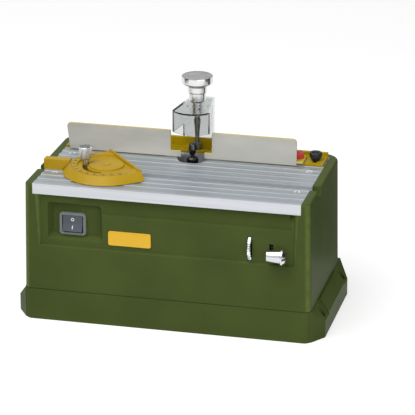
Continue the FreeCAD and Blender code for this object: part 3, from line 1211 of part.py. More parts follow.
def make_mitre_knob():
    seat = f"({HEAD_TOP} - pit_sink + knob_gap)"
    return turned("mitre_clamp_knob", ("pivot_x - arc_radius", BAR_Y), [
        ("0", BAR_LOW), ("stud_radius", BAR_LOW), ("stud_radius", seat), ("mitre_collar", seat),
        ("mitre_collar", "mitre_knob_low"), ("mitre_knob_radius", "mitre_knob_low + mitre_knob_flare"),
        ("mitre_knob_radius", "mitre_knob_high - knob_edge"),
        ("mitre_knob_radius - knob_edge", "mitre_knob_high"), ("0", "mitre_knob_high"),
    ])


shell = make_shell()
across_all = ("-base_half", "base_half")
front_end, rear_end = f"({FRONT} + front_reach)", f"({REAR} - rear_reach)"
gland_left, gland_right = "(gland_x - gland_reach)", "(gland_x + gland_reach)"
NODES = {
    "base": make_base(),
    "column_sockets": make_sockets(),
    "base_screws": make_base_screws(),
    "housing": housing_part("housing", shell, across_all, (FRONT, front_end)),
    "left_wall": housing_part("left_wall", shell, ("-base_half", "0"), (front_end, rear_end)),
    "right_wall": housing_part("right_wall", shell, ("0", "base_half"), (front_end, rear_end)),
    "rear_corner": housing_part("rear_corner", shell, ("-base_half", gland_left), (rear_end, REAR)),
    "gland_wall": housing_part("gland_wall", shell, (gland_left, gland_right), (rear_end, REAR)),
    "rear_wall": housing_part("rear_wall", shell, (gland_right, "base_half"), (rear_end, REAR)),
    "front_panel": make_front_panel(),
    "table": make_table(),
    "table_screws": make_table_screws(),
    "label_plate": make_label(),
    "switch_bezel": make_switch_bezel(),
    "switch_rocker": make_rocker(),
    "cable_gland": make_gland(),
    "guide_columns": make_columns(),
    "motor_carriage": make_carriage(),
    "drive_pinion": make_pinion(),
    "pinion_shaft": make_pinion_shaft(),
    "height_wheel": make_height_wheel(),
    "clamp_bolt": make_clamp_bolt(),
    "clamp_lever": make_clamp_lever(),
    "motor_can": make_motor_can(),
    "motor_lid": make_motor_lid(),
    "motor_end_cap": make_end_cap(),
    "motor_magnets": make_magnets(),
    "carbon_brushes": make_brushes(),
    "brush_holders": make_brush_holders(),
    "motor_screws": make_motor_screws(),
    "upper_bearing": make_bearing("upper_bearing", "(carriage_top - bearing_width)"),
    "lower_bearing": make_bearing("lower_bearing", "(can_bottom - bearing_width)"),
    "spindle_shaft": make_spindle_shaft(),
    "armature_core": make_armature_core(),
    "armature_windings": make_windings(),
    "commutator": make_commutator(),
    "cooling_fan": make_fan(),
    "collet": make_collet(),
    "collet_nut": make_collet_nut(),
    "profile_cutter": make_cutter(),
    "rectifier_board": make_board(),
    "fence_carrier": make_carrier(),
    "left_fence_plate": make_plate("left", "left_plate_end", "left_plate_gap", "left_tab", "end_lean"),
    "right_fence_plate": make_plate("right", "right_plate_end", "right_plate_gap", "right_tab", "0"),
    "left_plate_lock": make_lock("left"),
    "right_plate_lock": make_lock("right"),
    "left_clamp_knob": make_clamp_knob("left"),
    "right_clamp_knob": make_clamp_knob("right"),
    "guard_hood": make_hood(),
    "guard_bush": make_bush(),
    "guard_post": make_post(),
    "guard_knob": make_guard_knob(),
    "mitre_bar": make_mitre_bar(),
    "mitre_head": make_mitre_head(),
    "mitre_pivot_screw": make_pivot_screw(),
    "mitre_clamp_knob": make_mitre_knob(),
}

doc.recompute()
for item in doc.Objects:
    if "Invalid" in item.State or "Error" in item.State:
        raise RuntimeError(f"{item.Name} did not build: {item.State}")
for name, item in NODES.items():
    item.Label = name
    if item.Shape.isNull() or not item.Shape.isValid():
        raise RuntimeError(f"{name} has no valid shape")

os.makedirs("parts", exist_ok=True)
for name, item in NODES.items():
    item.Shape.exportStep(f"parts/{name}.step")
    print(name, len(item.Shape.Solids), round(item.Shape.Volume, 1))
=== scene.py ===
import math

import bmesh
import bpy
from mathutils import Matrix, Vector


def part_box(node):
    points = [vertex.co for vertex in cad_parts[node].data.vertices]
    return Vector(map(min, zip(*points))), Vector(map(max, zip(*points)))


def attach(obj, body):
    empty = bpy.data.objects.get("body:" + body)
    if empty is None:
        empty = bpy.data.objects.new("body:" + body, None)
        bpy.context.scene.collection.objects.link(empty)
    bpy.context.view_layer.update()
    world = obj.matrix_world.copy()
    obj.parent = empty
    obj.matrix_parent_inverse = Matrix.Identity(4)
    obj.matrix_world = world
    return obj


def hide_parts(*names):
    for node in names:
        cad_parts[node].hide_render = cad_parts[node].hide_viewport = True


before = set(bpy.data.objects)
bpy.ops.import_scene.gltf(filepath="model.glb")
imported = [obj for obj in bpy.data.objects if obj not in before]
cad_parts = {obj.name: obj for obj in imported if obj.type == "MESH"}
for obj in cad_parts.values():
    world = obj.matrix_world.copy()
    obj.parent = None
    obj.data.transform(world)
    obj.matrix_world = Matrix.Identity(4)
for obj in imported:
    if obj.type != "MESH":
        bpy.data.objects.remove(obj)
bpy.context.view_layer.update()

# Base: an olive plastic tray, injection moulded, with a sloping ear at each end for the bench screws and
# two sockets on its floor for the columns. Four plated steel screws from below hold the housing on it.
MM = 0.001


def colour(code):
    """Linear colour of a paint chip given as six hex digits."""
    parts = [int(code[i:i + 2], 16) / 255 for i in (0, 2, 4)]
    linear = [p / 12.92 if p <= 0.04045 else ((p + 0.055) / 1.055) ** 2.4 for p in parts]
    return (*linear, 1.0)


def shader_of(finish):
    """The shader that a finish is built round."""
    return finish.node_tree.nodes["Principled BSDF"]


def new_finish(name, **fixed):
    """Empty finish with its shader; the fixed values go straight on the shader's sockets."""
    finish = bpy.data.materials.new(name)
    finish.use_nodes = True
    for socket, value in fixed.items():
        shader_of(finish).inputs[socket.replace("_", " ")].default_value = value
    return finish


def pattern(finish, scale, detail=3.0, stretch=(1, 1, 1)):
    """Noise on the piece's own coordinates, in waves per metre, drawn out along an axis by stretch."""
    nodes, links = finish.node_tree.nodes, finish.node_tree.links
    place = nodes.new("ShaderNodeTexCoord")
    mapping = nodes.new("ShaderNodeMapping")
    mapping.inputs["Scale"].default_value = [scale / s for s in stretch]
    noise = nodes.new("ShaderNodeTexNoise")
    noise.inputs["Scale"].default_value = 1.0
    noise.inputs["Detail"].default_value = detail
    links.new(place.outputs["Object"], mapping.inputs["Vector"])
    links.new(mapping.outputs["Vector"], noise.inputs["Vector"])
    return noise.outputs["Fac"]


def tones(finish, level, stops):
    """Colours along a level from 0 to 1, each stop a place and a paint chip."""
    ramp = finish.node_tree.nodes.new("ShaderNodeValToRGB")
    elements = ramp.color_ramp.elements
    while len(elements) < len(stops):
        elements.new(0.5)
    for element, (at, chip) in zip(elements, stops):
        element.position = at
        element.color = colour(chip)
    finish.node_tree.links.new(level, ramp.inputs["Fac"])
    return ramp.outputs["Color"]


def paint(finish, tint):
    """Put a colour on a finish."""
    finish.node_tree.links.new(tint, shader_of(finish).inputs["Base Color"])


def gloss(finish, level, low, high):
    """Roughness that wanders between two values with a level."""
    spread = finish.node_tree.nodes.new("ShaderNodeMapRange")
    spread.inputs["From Min"].default_value = 0.3
    spread.inputs["From Max"].default_value = 0.7
    spread.inputs["To Min"].default_value = low
    spread.inputs["To Max"].default_value = high
    finish.node_tree.links.new(level, spread.inputs["Value"])
    finish.node_tree.links.new(spread.outputs["Result"], shader_of(finish).inputs["Roughness"])


def relief(finish, level, depth, strength):
    """Fine relief from a level, with its depth in metres."""
    bump = finish.node_tree.nodes.new("ShaderNodeBump")
    bump.inputs["Distance"].default_value = depth
    bump.inputs["Strength"].default_value = strength
    finish.node_tree.links.new(level, bump.inputs["Height"])
    finish.node_tree.links.new(bump.outputs["Normal"], shader_of(finish).inputs["Normal"])


def moulded(name, stops, rough, grain, **fixed):
    """Moulded plastic or paint: a slightly uneven tone and a fine eroded grain."""
    finish = new_finish(name, **fixed)
    paint(finish, tones(finish, pattern(finish, 18.0), stops))
    fine = pattern(finish, 2600.0, 2.0)
    gloss(finish, fine, *rough)
    relief(finish, fine, 0.02 * MM, grain)
    return finish


def worked(name, stops, rough, stretch, scale=900.0, grain=0.15):
    """Bare metal with tool lines drawn out along an axis."""
    finish = new_finish(name, Metallic=1.0)
    lines = pattern(finish, scale, 2.0, stretch)
    paint(finish, tones(finish, lines, stops))
    gloss(finish, lines, *rough)
    relief(finish, lines, 0.01 * MM, grain)
    return finish


def soften(name, width):
    """Small rounding along the sharp edges of a solid."""
    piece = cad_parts[name]
    weld = piece.modifiers.new("weld", "WELD")
    weld.merge_threshold = 0.002 * MM
    edge = piece.modifiers.new("edge", "BEVEL")
    edge.width = width
    edge.segments = 2
    edge.limit_method = "ANGLE"
    edge.angle_limit = math.radians(32)
    edge.use_clamp_overlap = True
    flow = piece.modifiers.new("flow", "WEIGHTED_NORMAL")
    flow.keep_sharp = True


def dress(finish, *names):
    """Give the solids of these names one finish."""
    for name in names:
        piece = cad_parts[name]
        piece.data.materials.clear()
        piece.data.materials.append(finish)


olive_chips = [(0.3, "455128"), (0.7, "4D592C")]
olive = moulded("olive_plastic", olive_chips, (0.42, 0.5), 0.12, Specular_IOR_Level=0.05)
dress(olive, "base", "column_sockets")
soften("base", 0.7 * MM)
plated = worked("plated_steel", [(0.3, "A4A6A8"), (0.7, "C2C4C6")], (0.28, 0.4), (1, 1, 6))
dress(plated, "base_screws")

# Housing: an olive plastic shell of six mouldings, glued flush at upright joints so that it looks like one
# piece. Shelves inside its cheeks carry the table, and its rounded upright corners carry a painted highlight.


def settle(name, form, body, finish, slot, *stands_for):
    """Turn a mesh form into a finished piece that rides on a body."""
    mesh = bpy.data.meshes.new(name)
    bmesh.ops.recalc_face_normals(form, faces=form.faces)
    form.to_mesh(mesh)
    form.free()
    for face in mesh.polygons:
        face.use_smooth = True
    mesh.set_sharp_from_angle(angle=math.radians(32))
    mesh.materials.append(finish)
    piece = bpy.data.objects.new(name, mesh)
    bpy.context.scene.collection.objects.link(piece)
    flow = piece.modifiers.new("flow", "WEIGHTED_NORMAL")
    flow.keep_sharp = True
    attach(piece, body)
    if stands_for:
        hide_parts(*stands_for)


def merged_copy(*names):
    """One mesh form of the solids of these names, with the corners of their triangles merged."""
    form = bmesh.new()
    for name in names:
        form.from_mesh(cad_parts[name].data)
    bmesh.ops.remove_doubles(form, verts=form.verts, dist=0.002 * MM)
    return form


def join_flats(form):
    """Join the triangles of each flat face into one."""
    bmesh.ops.dissolve_limit(form, angle_limit=math.radians(0.5), verts=form.verts, edges=form.edges)


def sharp_edges(form, degrees):
    """Edges at which two faces turn by more than an angle."""
    return [e for e in form.edges
            if len(e.link_faces) == 2 and e.calc_face_angle() > math.radians(degrees)]


def round_edges(form, edges, width):
    """Round some edges of a moulding."""
    bmesh.ops.bevel(form, geom=edges, offset=width, offset_type="OFFSET", segments=3, profile=0.5,
                    affect="EDGES", clamp_overlap=True, material=-1)


def blend(finish, level, first, second):
    """One colour that gives way to another along a level."""
    mix = finish.node_tree.nodes.new("ShaderNodeMix")
    mix.data_type = "RGBA"
    links = finish.node_tree.links
    links.new(level, mix.inputs["Factor"])
    links.new(first, mix.inputs["A"])
    links.new(second, mix.inputs["B"])
    return mix.outputs["Result"]


def upright_corners(finish):
    """Level that is 0 on flat walls and 1 on the rounding between a front or rear wall and a side."""
    nodes, links = finish.node_tree.nodes, finish.node_tree.links
    place = nodes.new("ShaderNodeTexCoord")
    parts = nodes.new("ShaderNodeSeparateXYZ")
    product = nodes.new("ShaderNodeMath")
    product.operation = "MULTIPLY"
    amount = nodes.new("ShaderNodeMath")
    amount.operation = "ABSOLUTE"
    level = nodes.new("ShaderNodeMapRange")
    level.inputs["From Min"].default_value = 0.2
    level.inputs["From Max"].default_value = 0.48
    links.new(place.outputs["Normal"], parts.inputs[0])
    links.new(parts.outputs["X"], product.inputs[0])
    links.new(parts.outputs["Y"], product.inputs[1])
    links.new(product.outputs[0], amount.inputs[0])
    links.new(amount.outputs[0], level.inputs["Value"])
    return level.outputs["Result"]


shell_olive = new_finish("olive_shell", Specular_IOR_Level=0.05)
unworn = tones(shell_olive, pattern(shell_olive, 18.0), olive_chips)
# Painted highlight: the rounded upright corners get paler olive tones that stand in for the light they catch.
corner_highlight_tones = tones(shell_olive, pattern(shell_olive, 90.0), [(0.3, "596734"), (0.7, "66743C")])
paint(shell_olive, blend(shell_olive, upright_corners(shell_olive), unworn, corner_highlight_tones))
shell_grain = pattern(shell_olive, 2600.0, 2.0)
gloss(shell_olive, shell_grain, 0.42, 0.5)
relief(shell_olive, shell_grain, 0.02 * MM, 0.12)

mouldings = ("housing", "left_wall", "right_wall", "rear_corner", "gland_wall", "rear_wall")
glue_planes = ((1, -62 * MM), (1, 65 * MM), (0, -125 * MM), (0, -95 * MM))
window_face = -85 * MM
window_corner = Vector((147 * MM, -88 * MM, 87.7 * MM))
window_taper = 144 / 147
near = 0.01 * MM
shell = merged_copy(*mouldings)
glued = [f for f in shell.faces
         if any(all(abs(v.co[axis] - at) < near for v in f.verts) for axis, at in glue_planes)]
bmesh.ops.delete(shell, geom=glued, context="FACES")
low_corners = [v for v in shell.verts
               if (Vector((abs(v.co.x), v.co.y, v.co.z)) - window_corner).length < 0.1 * MM]
bmesh.ops.scale(shell, vec=(window_taper, 1, 1), verts=low_corners)
join_flats(shell)
crisp = [e for e in sharp_edges(shell, 50) if any(abs(v.co.y - window_face) > near for v in e.verts)]
round_edges(shell, crisp, 0.8 * MM)
settle("housing_shell", shell, "frame", shell_olive, "green_plastic", *mouldings)

# Front panel: a moulding of the same olive plastic that fills the housing's window, flush with its slopes.
# It has the sunk bay of the switch and the two slots for the height wheel and the clamp lever.
panel = merged_copy("front_panel")
join_flats(panel)
low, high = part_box("front_panel")
border = 1 * MM
bay_depth = -70 * MM
inside = [v for v in panel.verts
          if low[0] + border < v.co.x < high[0] - border and low[2] + border < v.co.z < high[2] - border]
crisp = [e for e in sharp_edges(panel, 25)
         if any(v in inside for v in e.verts) and all(v.co.y < bay_depth for v in e.verts)]
round_edges(panel, crisp, 0.9 * MM)
settle("front_panel_moulded", panel, "frame", olive, "green_plastic", "front_panel")

# Rectifier board: a small board of green lacquered laminate with its bridge on top.
# It stands on four feet on the base's floor.
board_lacquer = moulded("board_lacquer", [(0.35, "1E4A2C"), (0.65, "2A5C38")], (0.3, 0.4), 0.1)
dress(board_lacquer, "rectifier_board")

# Lifting gear: two ground steel columns in the base, a cast aluminium carriage that slides on them with a
# rack on its leg, and a brass pinion on a steel shaft behind the panel.
ground_steel = worked("ground_steel", [(0.3, "B2B2B4"), (0.7, "D0D0D2")], (0.18, 0.28), (1, 1, 8))
dress(ground_steel, "guide_columns", "pinion_shaft")
cast_metal = worked("cast_aluminium", [(0.3, "8E9092"), (0.7, "A6A8AA")], (0.45, 0.6), (1, 1, 1), 700.0, 0.5)
dress(cast_metal, "motor_carriage")
soften("motor_carriage", 0.4 * MM)
brass = worked("machined_brass", [(0.3, "B0903C"), (0.7, "CAA850")], (0.25, 0.35), (6, 1, 1))
dress(brass, "drive_pinion")

# Motor: a drawn steel can hung under the carriage by screws, with ferrite magnets, carbon brushes in brass
# holders and a black plastic end cap.
dress(plated, "motor_can", "motor_lid", "motor_screws")
black_moulding = moulded("black_plastic", [(0.3, "12181A"), (0.7, "1C2224")], (0.35, 0.45), 0.1)
dress(black_moulding, "motor_end_cap")
ferrite = moulded("dark_ferrite", [(0.3, "2A2A2C"), (0.7, "363638")], (0.5, 0.65), 0.4)
dress(ferrite, "motor_magnets", "carbon_brushes")
dress(brass, "brush_holders")

# Spindle: a ground steel shaft in two bearings with the armature, commutator and fan on it.
# A blackened collet nut holds the fluted tool-steel cutter above the table.
dress(ground_steel, "spindle_shaft", "upper_bearing", "lower_bearing")
laminations = worked("armature_sheets", [(0.3, "7E8082"), (0.7, "A2A4A6")], (0.3, 0.45), (8, 8, 1), 1800.0, 0.5)
dress(laminations, "armature_core")
copper = worked("copper_wire", [(0.3, "9E5A34"), (0.7, "BC764A")], (0.3, 0.4), (8, 8, 1), 1500.0, 0.6)
dress(copper, "armature_windings", "commutator")
dress(black_moulding, "cooling_fan")
blackened = worked("blackened_steel", [(0.3, "2E2F30"), (0.7, "444546")], (0.34, 0.44), (1, 1, 6))
dress(blackened, "collet", "collet_nut")
soften("collet_nut", 0.3 * MM)
tool_steel = worked("tool_steel", [(0.3, "3C3E40"), (0.7, "56585C")], (0.22, 0.35), (1, 1, 4))
dress(tool_steel, "profile_cutter")

# Height wheel: a chromed steel disc with a straight knurl on its rim, in the left slot of the panel.
# Its right side is turned a little hollow, and it is fixed on the pinion's shaft.


def push(form, face, inset, shift):
    """Draw a face in by an inset, then push it along a shift, which leaves a rim and a wall."""
    if inset:
        bmesh.ops.inset_region(form, faces=[face], thickness=inset, use_even_offset=True)
    grown = bmesh.ops.extrude_face_region(form, geom=[face, *face.edges, *face.verts])["geom"]
    moved = [item for item in grown if isinstance(item, bmesh.types.BMVert)]
    bmesh.ops.translate(form, verts=moved, vec=shift)
    return [item for item in grown if isinstance(item, bmesh.types.BMFace)][0]


def ribbed(form, rings, ribs, depth, place):
    """Ribbed outline raised through rings of radius and height, in millimetres, and put in its place."""
    before = set(form.verts)
    outline = bmesh.ops.create_circle(form, cap_ends=True, radius=1.0, segments=ribs * 4)["verts"]
    valleys = [v for i, v in enumerate(outline) if i % 4 in (2, 3)]
    widest = max(radius for radius, height in rings)
    bmesh.ops.scale(form, vec=(1 - depth / widest, 1 - depth / widest, 1), verts=valleys)
    top = outline[0].link_faces[0]
    radius, height = rings[0]
    bmesh.ops.scale(form, vec=(radius * MM, radius * MM, 1), verts=top.verts)
    bmesh.ops.translate(form, vec=(0, 0, height * MM), verts=top.verts)
    for (last, low), (radius, height) in zip(rings, rings[1:]):
        top = push(form, top, 0, (0, 0, (height - low) * MM))
        bmesh.ops.scale(form, vec=(radius / last, radius / last, 1), verts=top.verts)
    form.normal_update()
    bmesh.ops.transform(form, matrix=place, verts=[v for v in form.verts if v not in before])
    return top


wheel_place = Matrix.Translation((93.5 * MM, -76 * MM, 104.3 * MM)) @ Matrix.Rotation(math.radians(90), 4, "Y")
wheel_rings = [(15.1, -2), (16, -1.2), (16, 1.2), (15.1, 2)]
wheel = bmesh.new()
right_side = ribbed(wheel, wheel_rings, 44, 0.75, wheel_place)
push(wheel, right_side, 3.2 * MM, (-0.5 * MM, 0, 0))
chrome = worked("chrome_plate", [(0.3, "CDCFD2"), (0.7, "DEE0E2")], (0.07, 0.13), (1, 1, 1), 60.0, 0.05)
settle("height_wheel_knurled", wheel, "thumbwheel", chrome, "chrome_metal", "height_wheel")

# Clamp lever: a turned and chromed steel cone with a flange and a domed end, crossed by the plated bolt
# that it turns on. A short sleeve keeps it off the panel.


def turned_form(form, profile, place, steps):
    """Turn a profile of radius and height, in millimetres, about its axis and put it in its place."""
    before = set(form.verts)
    corners = [form.verts.new((radius * MM, 0, height * MM)) for radius, height in profile]
    sides = [form.edges.new(pair) for pair in zip(corners, corners[1:])]
    if profile[0][0] > 0:
        sides.append(form.edges.new((corners[-1], corners[0])))
    bmesh.ops.spin(form, geom=corners + sides, cent=(0, 0, 0), axis=(0, 0, 1), angle=2 * math.pi,
                   steps=steps, use_merge=True)
    made = [v for v in form.verts if v not in before]
    bmesh.ops.remove_doubles(form, verts=made, dist=0.001 * MM)
    bmesh.ops.transform(form, matrix=place, verts=[v for v in form.verts if v not in before])


lever_place = Matrix.Translation((117.4 * MM, -96 * MM, 101.8 * MM))
along_front = lever_place @ Matrix.Rotation(math.radians(90), 4, "Y")
to_panel = lever_place @ Matrix.Rotation(math.radians(-90), 4, "X")
cone = [(0, -2.6), (5.8, -2.6), (6.4, -2.0), (7.9, 12.4), (7.9, 13.2)]
flange = [(9.4, 13.5), (9.8, 14.0), (9.8, 15.6), (9.3, 16.1), (8.7, 16.4)]
dome = [(7.6, 17.9), (5.6, 19.0), (3.0, 19.4), (0, 19.5)]
lever_sleeve = [(0, 0), (3.1, 0), (3.1, 10.2), (2.6, 10.7), (0, 10.7)]
lever = bmesh.new()
turned_form(lever, cone + flange + dome, along_front, 72)
turned_form(lever, lever_sleeve, to_panel, 40)
settle("clamp_lever_turned", lever, "lever", chrome, "chrome_metal", "clamp_lever")
dress(plated, "clamp_bolt")

# Table: an extruded aluminium plate with shallow grooves along it and a slot for the mitre bar.
# Its top is satin; its front edge has milling lines under a painted highlight. Screws hold it on the housing's
# shelves.


def span(finish, axis, low, high):
    """Level from 0 to 1 as the faces turn towards or away from one axis."""
    nodes, links = finish.node_tree.nodes, finish.node_tree.links
    place = nodes.new("ShaderNodeTexCoord")
    parts = nodes.new("ShaderNodeSeparateXYZ")
    level = nodes.new("ShaderNodeMapRange")
    level.inputs["From Min"].default_value = low
    level.inputs["From Max"].default_value = high
    links.new(place.outputs["Normal"], parts.inputs[0])
    links.new(parts.outputs[axis], level.inputs["Value"])
    return level.outputs["Result"]


table_metal = new_finish("table_aluminium", Metallic=0.55, Specular_IOR_Level=0.4)
drawn = pattern(table_metal, 640.0, 2.0, (400, 1, 1))
satin = tones(table_metal, drawn, [(0.32, "989FA4"), (0.5, "A6ADB1"), (0.68, "B7BDC1")])
# Painted highlight: faces turned to the front get paler tones, standing in for the light the front edge
# catches.
cutter_lines = pattern(table_metal, 260.0, 2.0, (60, 1, 1))
front_highlight_tones = tones(table_metal, cutter_lines, [(0.3, "CACDD1"), (0.7, "D8DAE0")])
paint(table_metal, blend(table_metal, span(table_metal, "Y", -0.5, -0.9), satin, front_highlight_tones))
gloss(table_metal, drawn, 0.36, 0.46)
relief(table_metal, drawn, 0.02 * MM, 0.25)
dress(table_metal, "table")
soften("table", 0.25 * MM)

# Table screws: zinc-plated steel screws with countersunk heads and a pressed cross recess.
# Two at each end of the table go into the housing's shelves.
head_radius, head_top = 3.6, 159.45
cross_length, cross_width, cross_depth = 2.6, 0.7, 0.6
shank_radius, head_depth, shank_length = 1.75, 1.85, 15.5
screws = bmesh.new()
for x in (-137, 137):
    for y in (-46, 22):
        before = set(screws.verts)
        cross = bmesh.ops.create_grid(screws, x_segments=3, y_segments=3, size=1.0)["verts"]
        for vert in cross:
            for axis in (0, 1):
                reach = cross_width / 2 if abs(vert.co[axis]) < 0.5 else cross_length / 2
                vert.co[axis] = math.copysign(reach * MM, vert.co[axis])
        patch = {face for vert in cross for face in vert.link_faces}
        outer = [f for f in patch
                 if min(abs(f.calc_center_median().x), abs(f.calc_center_median().y)) > 0.3 * MM]
        bmesh.ops.delete(screws, geom=outer, context="FACES")
        recess = [f for f in patch if f not in outer]
        outline = {e for v in cross if v.is_valid for e in v.link_edges if e.is_boundary}
        rim = bmesh.ops.create_circle(screws, cap_ends=False, radius=head_radius * MM, segments=36)["verts"]
        rim_edges = list({e for v in rim for e in v.link_edges})
        bmesh.ops.bridge_loops(screws, edges=list(outline) + rim_edges)
        recess_edges = {e for f in recess for e in f.edges}
        well = bmesh.ops.extrude_face_region(screws, geom=recess + list(recess_edges))["geom"]
        bmesh.ops.translate(screws, vec=(0, 0, -cross_depth * MM),
                            verts=[g for g in well if isinstance(g, bmesh.types.BMVert)])
        for ratio, drop in ((shank_radius / head_radius, head_depth), (1.0, shank_length)):
            side = bmesh.ops.extrude_edge_only(screws, edges=rim_edges)["geom"]
            low = [g for g in side if isinstance(g, bmesh.types.BMVert)]
            rim_edges = [g for g in side if isinstance(g, bmesh.types.BMEdge)
                         and all(v in low for v in g.verts)]
            bmesh.ops.scale(screws, vec=(ratio, ratio, 1), verts=low)
            bmesh.ops.translate(screws, vec=(0, 0, -drop * MM), verts=low)
        bmesh.ops.holes_fill(screws, edges=rim_edges, sides=0)
        bmesh.ops.translate(screws, vec=(x * MM, y * MM, head_top * MM),
                            verts=[v for v in screws.verts if v not in before])
bright_zinc = moulded("bright_zinc", [(0.3, "E4E6E8"), (0.7, "F0F2F4")], (0.3, 0.4), 0.1, Metallic=0.4)
settle("table_screws_cross", screws, "frame", bright_zinc, "zinc_steel", "table_screws")

# Label: a thin plate of yellow plastic with rounded corners and a fine raised border, left bare.
# It is glued on the panel.


def slab(form, low, high, axis, corner, segments):
    """Box between two corners, in millimetres, with the four edges along an axis rounded."""
    made = bmesh.ops.create_cube(form, size=1.0)["verts"]
    bmesh.ops.scale(form, vec=[(b - a) * MM for a, b in zip(low, high)], verts=made)
    bmesh.ops.translate(form, vec=[(a + b) / 2 * MM for a, b in zip(low, high)], verts=made)
    edges = {e for v in made for e in v.link_edges}
    along = [e for e in edges if abs((e.verts[0].co - e.verts[1].co).normalized()[axis]) > 0.9]
    bmesh.ops.bevel(form, geom=along, offset=corner * MM, offset_type="OFFSET", segments=segments,
                    profile=0.5, affect="EDGES", material=-1)
    form.normal_update()


def facing(form, direction):
    """The largest face of a form that looks in a direction."""
    return max((f for f in form.faces if f.normal.dot(Vector(direction)) > 0.9), key=lambda f: f.calc_area())


label = bmesh.new()
slab(label, (-65, -86.2, 94.5), (-17, -85, 110.8), 1, 2.2, 6)
raised_border = push(label, facing(label, (0, -1, 0)), 0.5 * MM, (0, -0.12 * MM, 0))
push(label, raised_border, 0.7 * MM, (0, 0.16 * MM, 0))
label_yellow = moulded("label_yellow", [(0.3, "E8B41E"), (0.7, "EEBE28")], (0.25, 0.32), 0.05)
settle("label_plate_bare", label, "frame", label_yellow, "yellow_label", "label_plate")

# Switch: a grey plastic bezel with rounded corners and its box behind, clipped into the bay of the panel.
# The dark rocker tips about its middle and has a printed ring and bar.
bezel = bmesh.new()
slab(bezel, (-122, -80, 100.4), (-92, -77, 126.4), 1, 4.0, 6)
step = push(bezel, facing(bezel, (0, -1, 0)), 1.0 * MM, (0, -0.5 * MM, 0))
push(bezel, step, 1.9 * MM, (0, 11 * MM, 0))
bezel.normal_update()
push(bezel, facing(bezel, (0, 1, 0)), 1.5 * MM, (0, 18 * MM, 0))
bezel_grey = moulded("bezel_grey", [(0.3, "6A706D"), (0.7, "787E7B")], (0.35, 0.45), 0.1)
settle("switch_bezel_round", bezel, "frame", bezel_grey, "grey_plastic", "switch_bezel")
rocker_dark = moulded("rocker_dark", [(0.3, "3E444E"), (0.7, "4A505A")], (0.32, 0.42), 0.2)
dress(rocker_dark, "switch_rocker")
soften("switch_rocker", 0.35 * MM)
rocker_tilt, rocker_slope = 10, 12.53
rocker_place = (Matrix.Translation((-107 * MM, -77 * MM, 113.4 * MM))
                @ Matrix.Rotation(math.radians(-rocker_tilt), 4, "X"))
upper_half = (rocker_place @ Matrix.Translation((0, -3.95 * MM, 4.4 * MM))
              @ Matrix.Rotation(math.radians(90 + rocker_slope), 4, "X"))
lower_half = (rocker_place @ Matrix.Translation((0, -3.95 * MM, -4.4 * MM))
              @ Matrix.Rotation(math.radians(90 - rocker_slope), 4, "X"))
marks = bmesh.new()
outer = bmesh.ops.create_circle(marks, cap_ends=False, radius=1.9 * MM, segments=40)["verts"]
inner = bmesh.ops.create_circle(marks, cap_ends=False, radius=1.15 * MM, segments=40)["verts"]
band = bmesh.ops.bridge_loops(marks, edges=list({e for v in outer + inner for e in v.link_edges}))["faces"]
raised = bmesh.ops.extrude_face_region(marks, geom=band)["geom"]
bmesh.ops.translate(marks, vec=(0, 0, 0.2 * MM), verts=[g for g in raised if isinstance(g, bmesh.types.BMVert)])
bmesh.ops.transform(marks, verts=marks.verts, matrix=upper_half)
ring_verts = set(marks.verts)
slab(marks, (-0.45, -1.9, 0), (0.45, 1.9, 0.2), 2, 0.2, 3)
bmesh.ops.transform(marks, verts=[v for v in marks.verts if v not in ring_verts], matrix=lower_half)
print_white = moulded("print_white", [(0.3, "E6E6E4"), (0.7, "F2F2F0")], (0.4, 0.5), 0.05)
settle("rocker_marks", marks, "rocker", print_white, "grey_plastic")

# Cord gland: a moulded collar of black rubber with a ribbed, tapering sleeve, open for a mains cord.
# A groove round it grips the edge of its hole in the rear wall.
gland_collar = [(3.2, -6), (9, -6), (9, -3), (6, -3), (6, 0), (9, 0), (9, 2.3), (8.3, 3.0), (6.6, 3.0)]
gland_ribs = []
for i in range(5):
    rib_radius, rib_start = 6.6 - 0.42 * i, 2.2 * i
    gland_ribs += [(rib_radius, rib_start + 3.9), (rib_radius - 1.0, rib_start + 4.3),
                   (rib_radius - 1.0, rib_start + 4.9), (rib_radius - 0.3, rib_start + 5.3)]
gland_end = [(4.7, 15), (3.2, 15)]
gland_place = Matrix.Translation((-110 * MM, 88 * MM, 72 * MM)) @ Matrix.Rotation(math.radians(-90), 4, "X")
gland = bmesh.new()
turned_form(gland, gland_collar + gland_ribs + gland_end, gland_place, 72)
rubber = moulded("black_rubber", [(0.3, "161616"), (0.7, "222222")], (0.6, 0.75), 0.25)
settle("cable_gland_ribbed", gland, "frame", rubber, "black_rubber", "cable_gland")

# Fence carrier: a pressed steel angle in yellow paint across the rear of the table, with a raised middle.
# Two clamp knobs hold it through its slots.
carrier_paint = moulded("carrier_yellow", [(0.3, "9A8200"), (0.7, "A88E06")], (0.4, 0.5), 0.1,
                        Specular_IOR_Level=0.2)
dress(carrier_paint, "fence_carrier")
soften("fence_carrier", 0.5 * MM)

# Fence plates: two aluminium sheets with a satin grey front and yellow painted edges and backs.
# Each stands on a slotted foot that a plate lock clamps on the carrier.
plate_skin = new_finish("plate_skin", Specular_IOR_Level=0.3)
rolled = pattern(plate_skin, 26.0, 5.0, (3, 1, 1))
front_grey = tones(plate_skin, rolled, [(0.3, "A8A8A2"), (0.7, "C6C4BC")])
edge_yellow = tones(plate_skin, pattern(plate_skin, 30.0), [(0.3, "BEA818"), (0.7, "CCB828")])
paint(plate_skin, blend(plate_skin, span(plate_skin, "Y", -0.85, -0.97), edge_yellow, front_grey))
gloss(plate_skin, rolled, 0.5, 0.6)
relief(plate_skin, rolled, 0.01 * MM, 0.1)
for plate in ("left_fence_plate", "right_fence_plate"):
    dress(plate_skin, plate)
    soften(plate, 0.35 * MM)

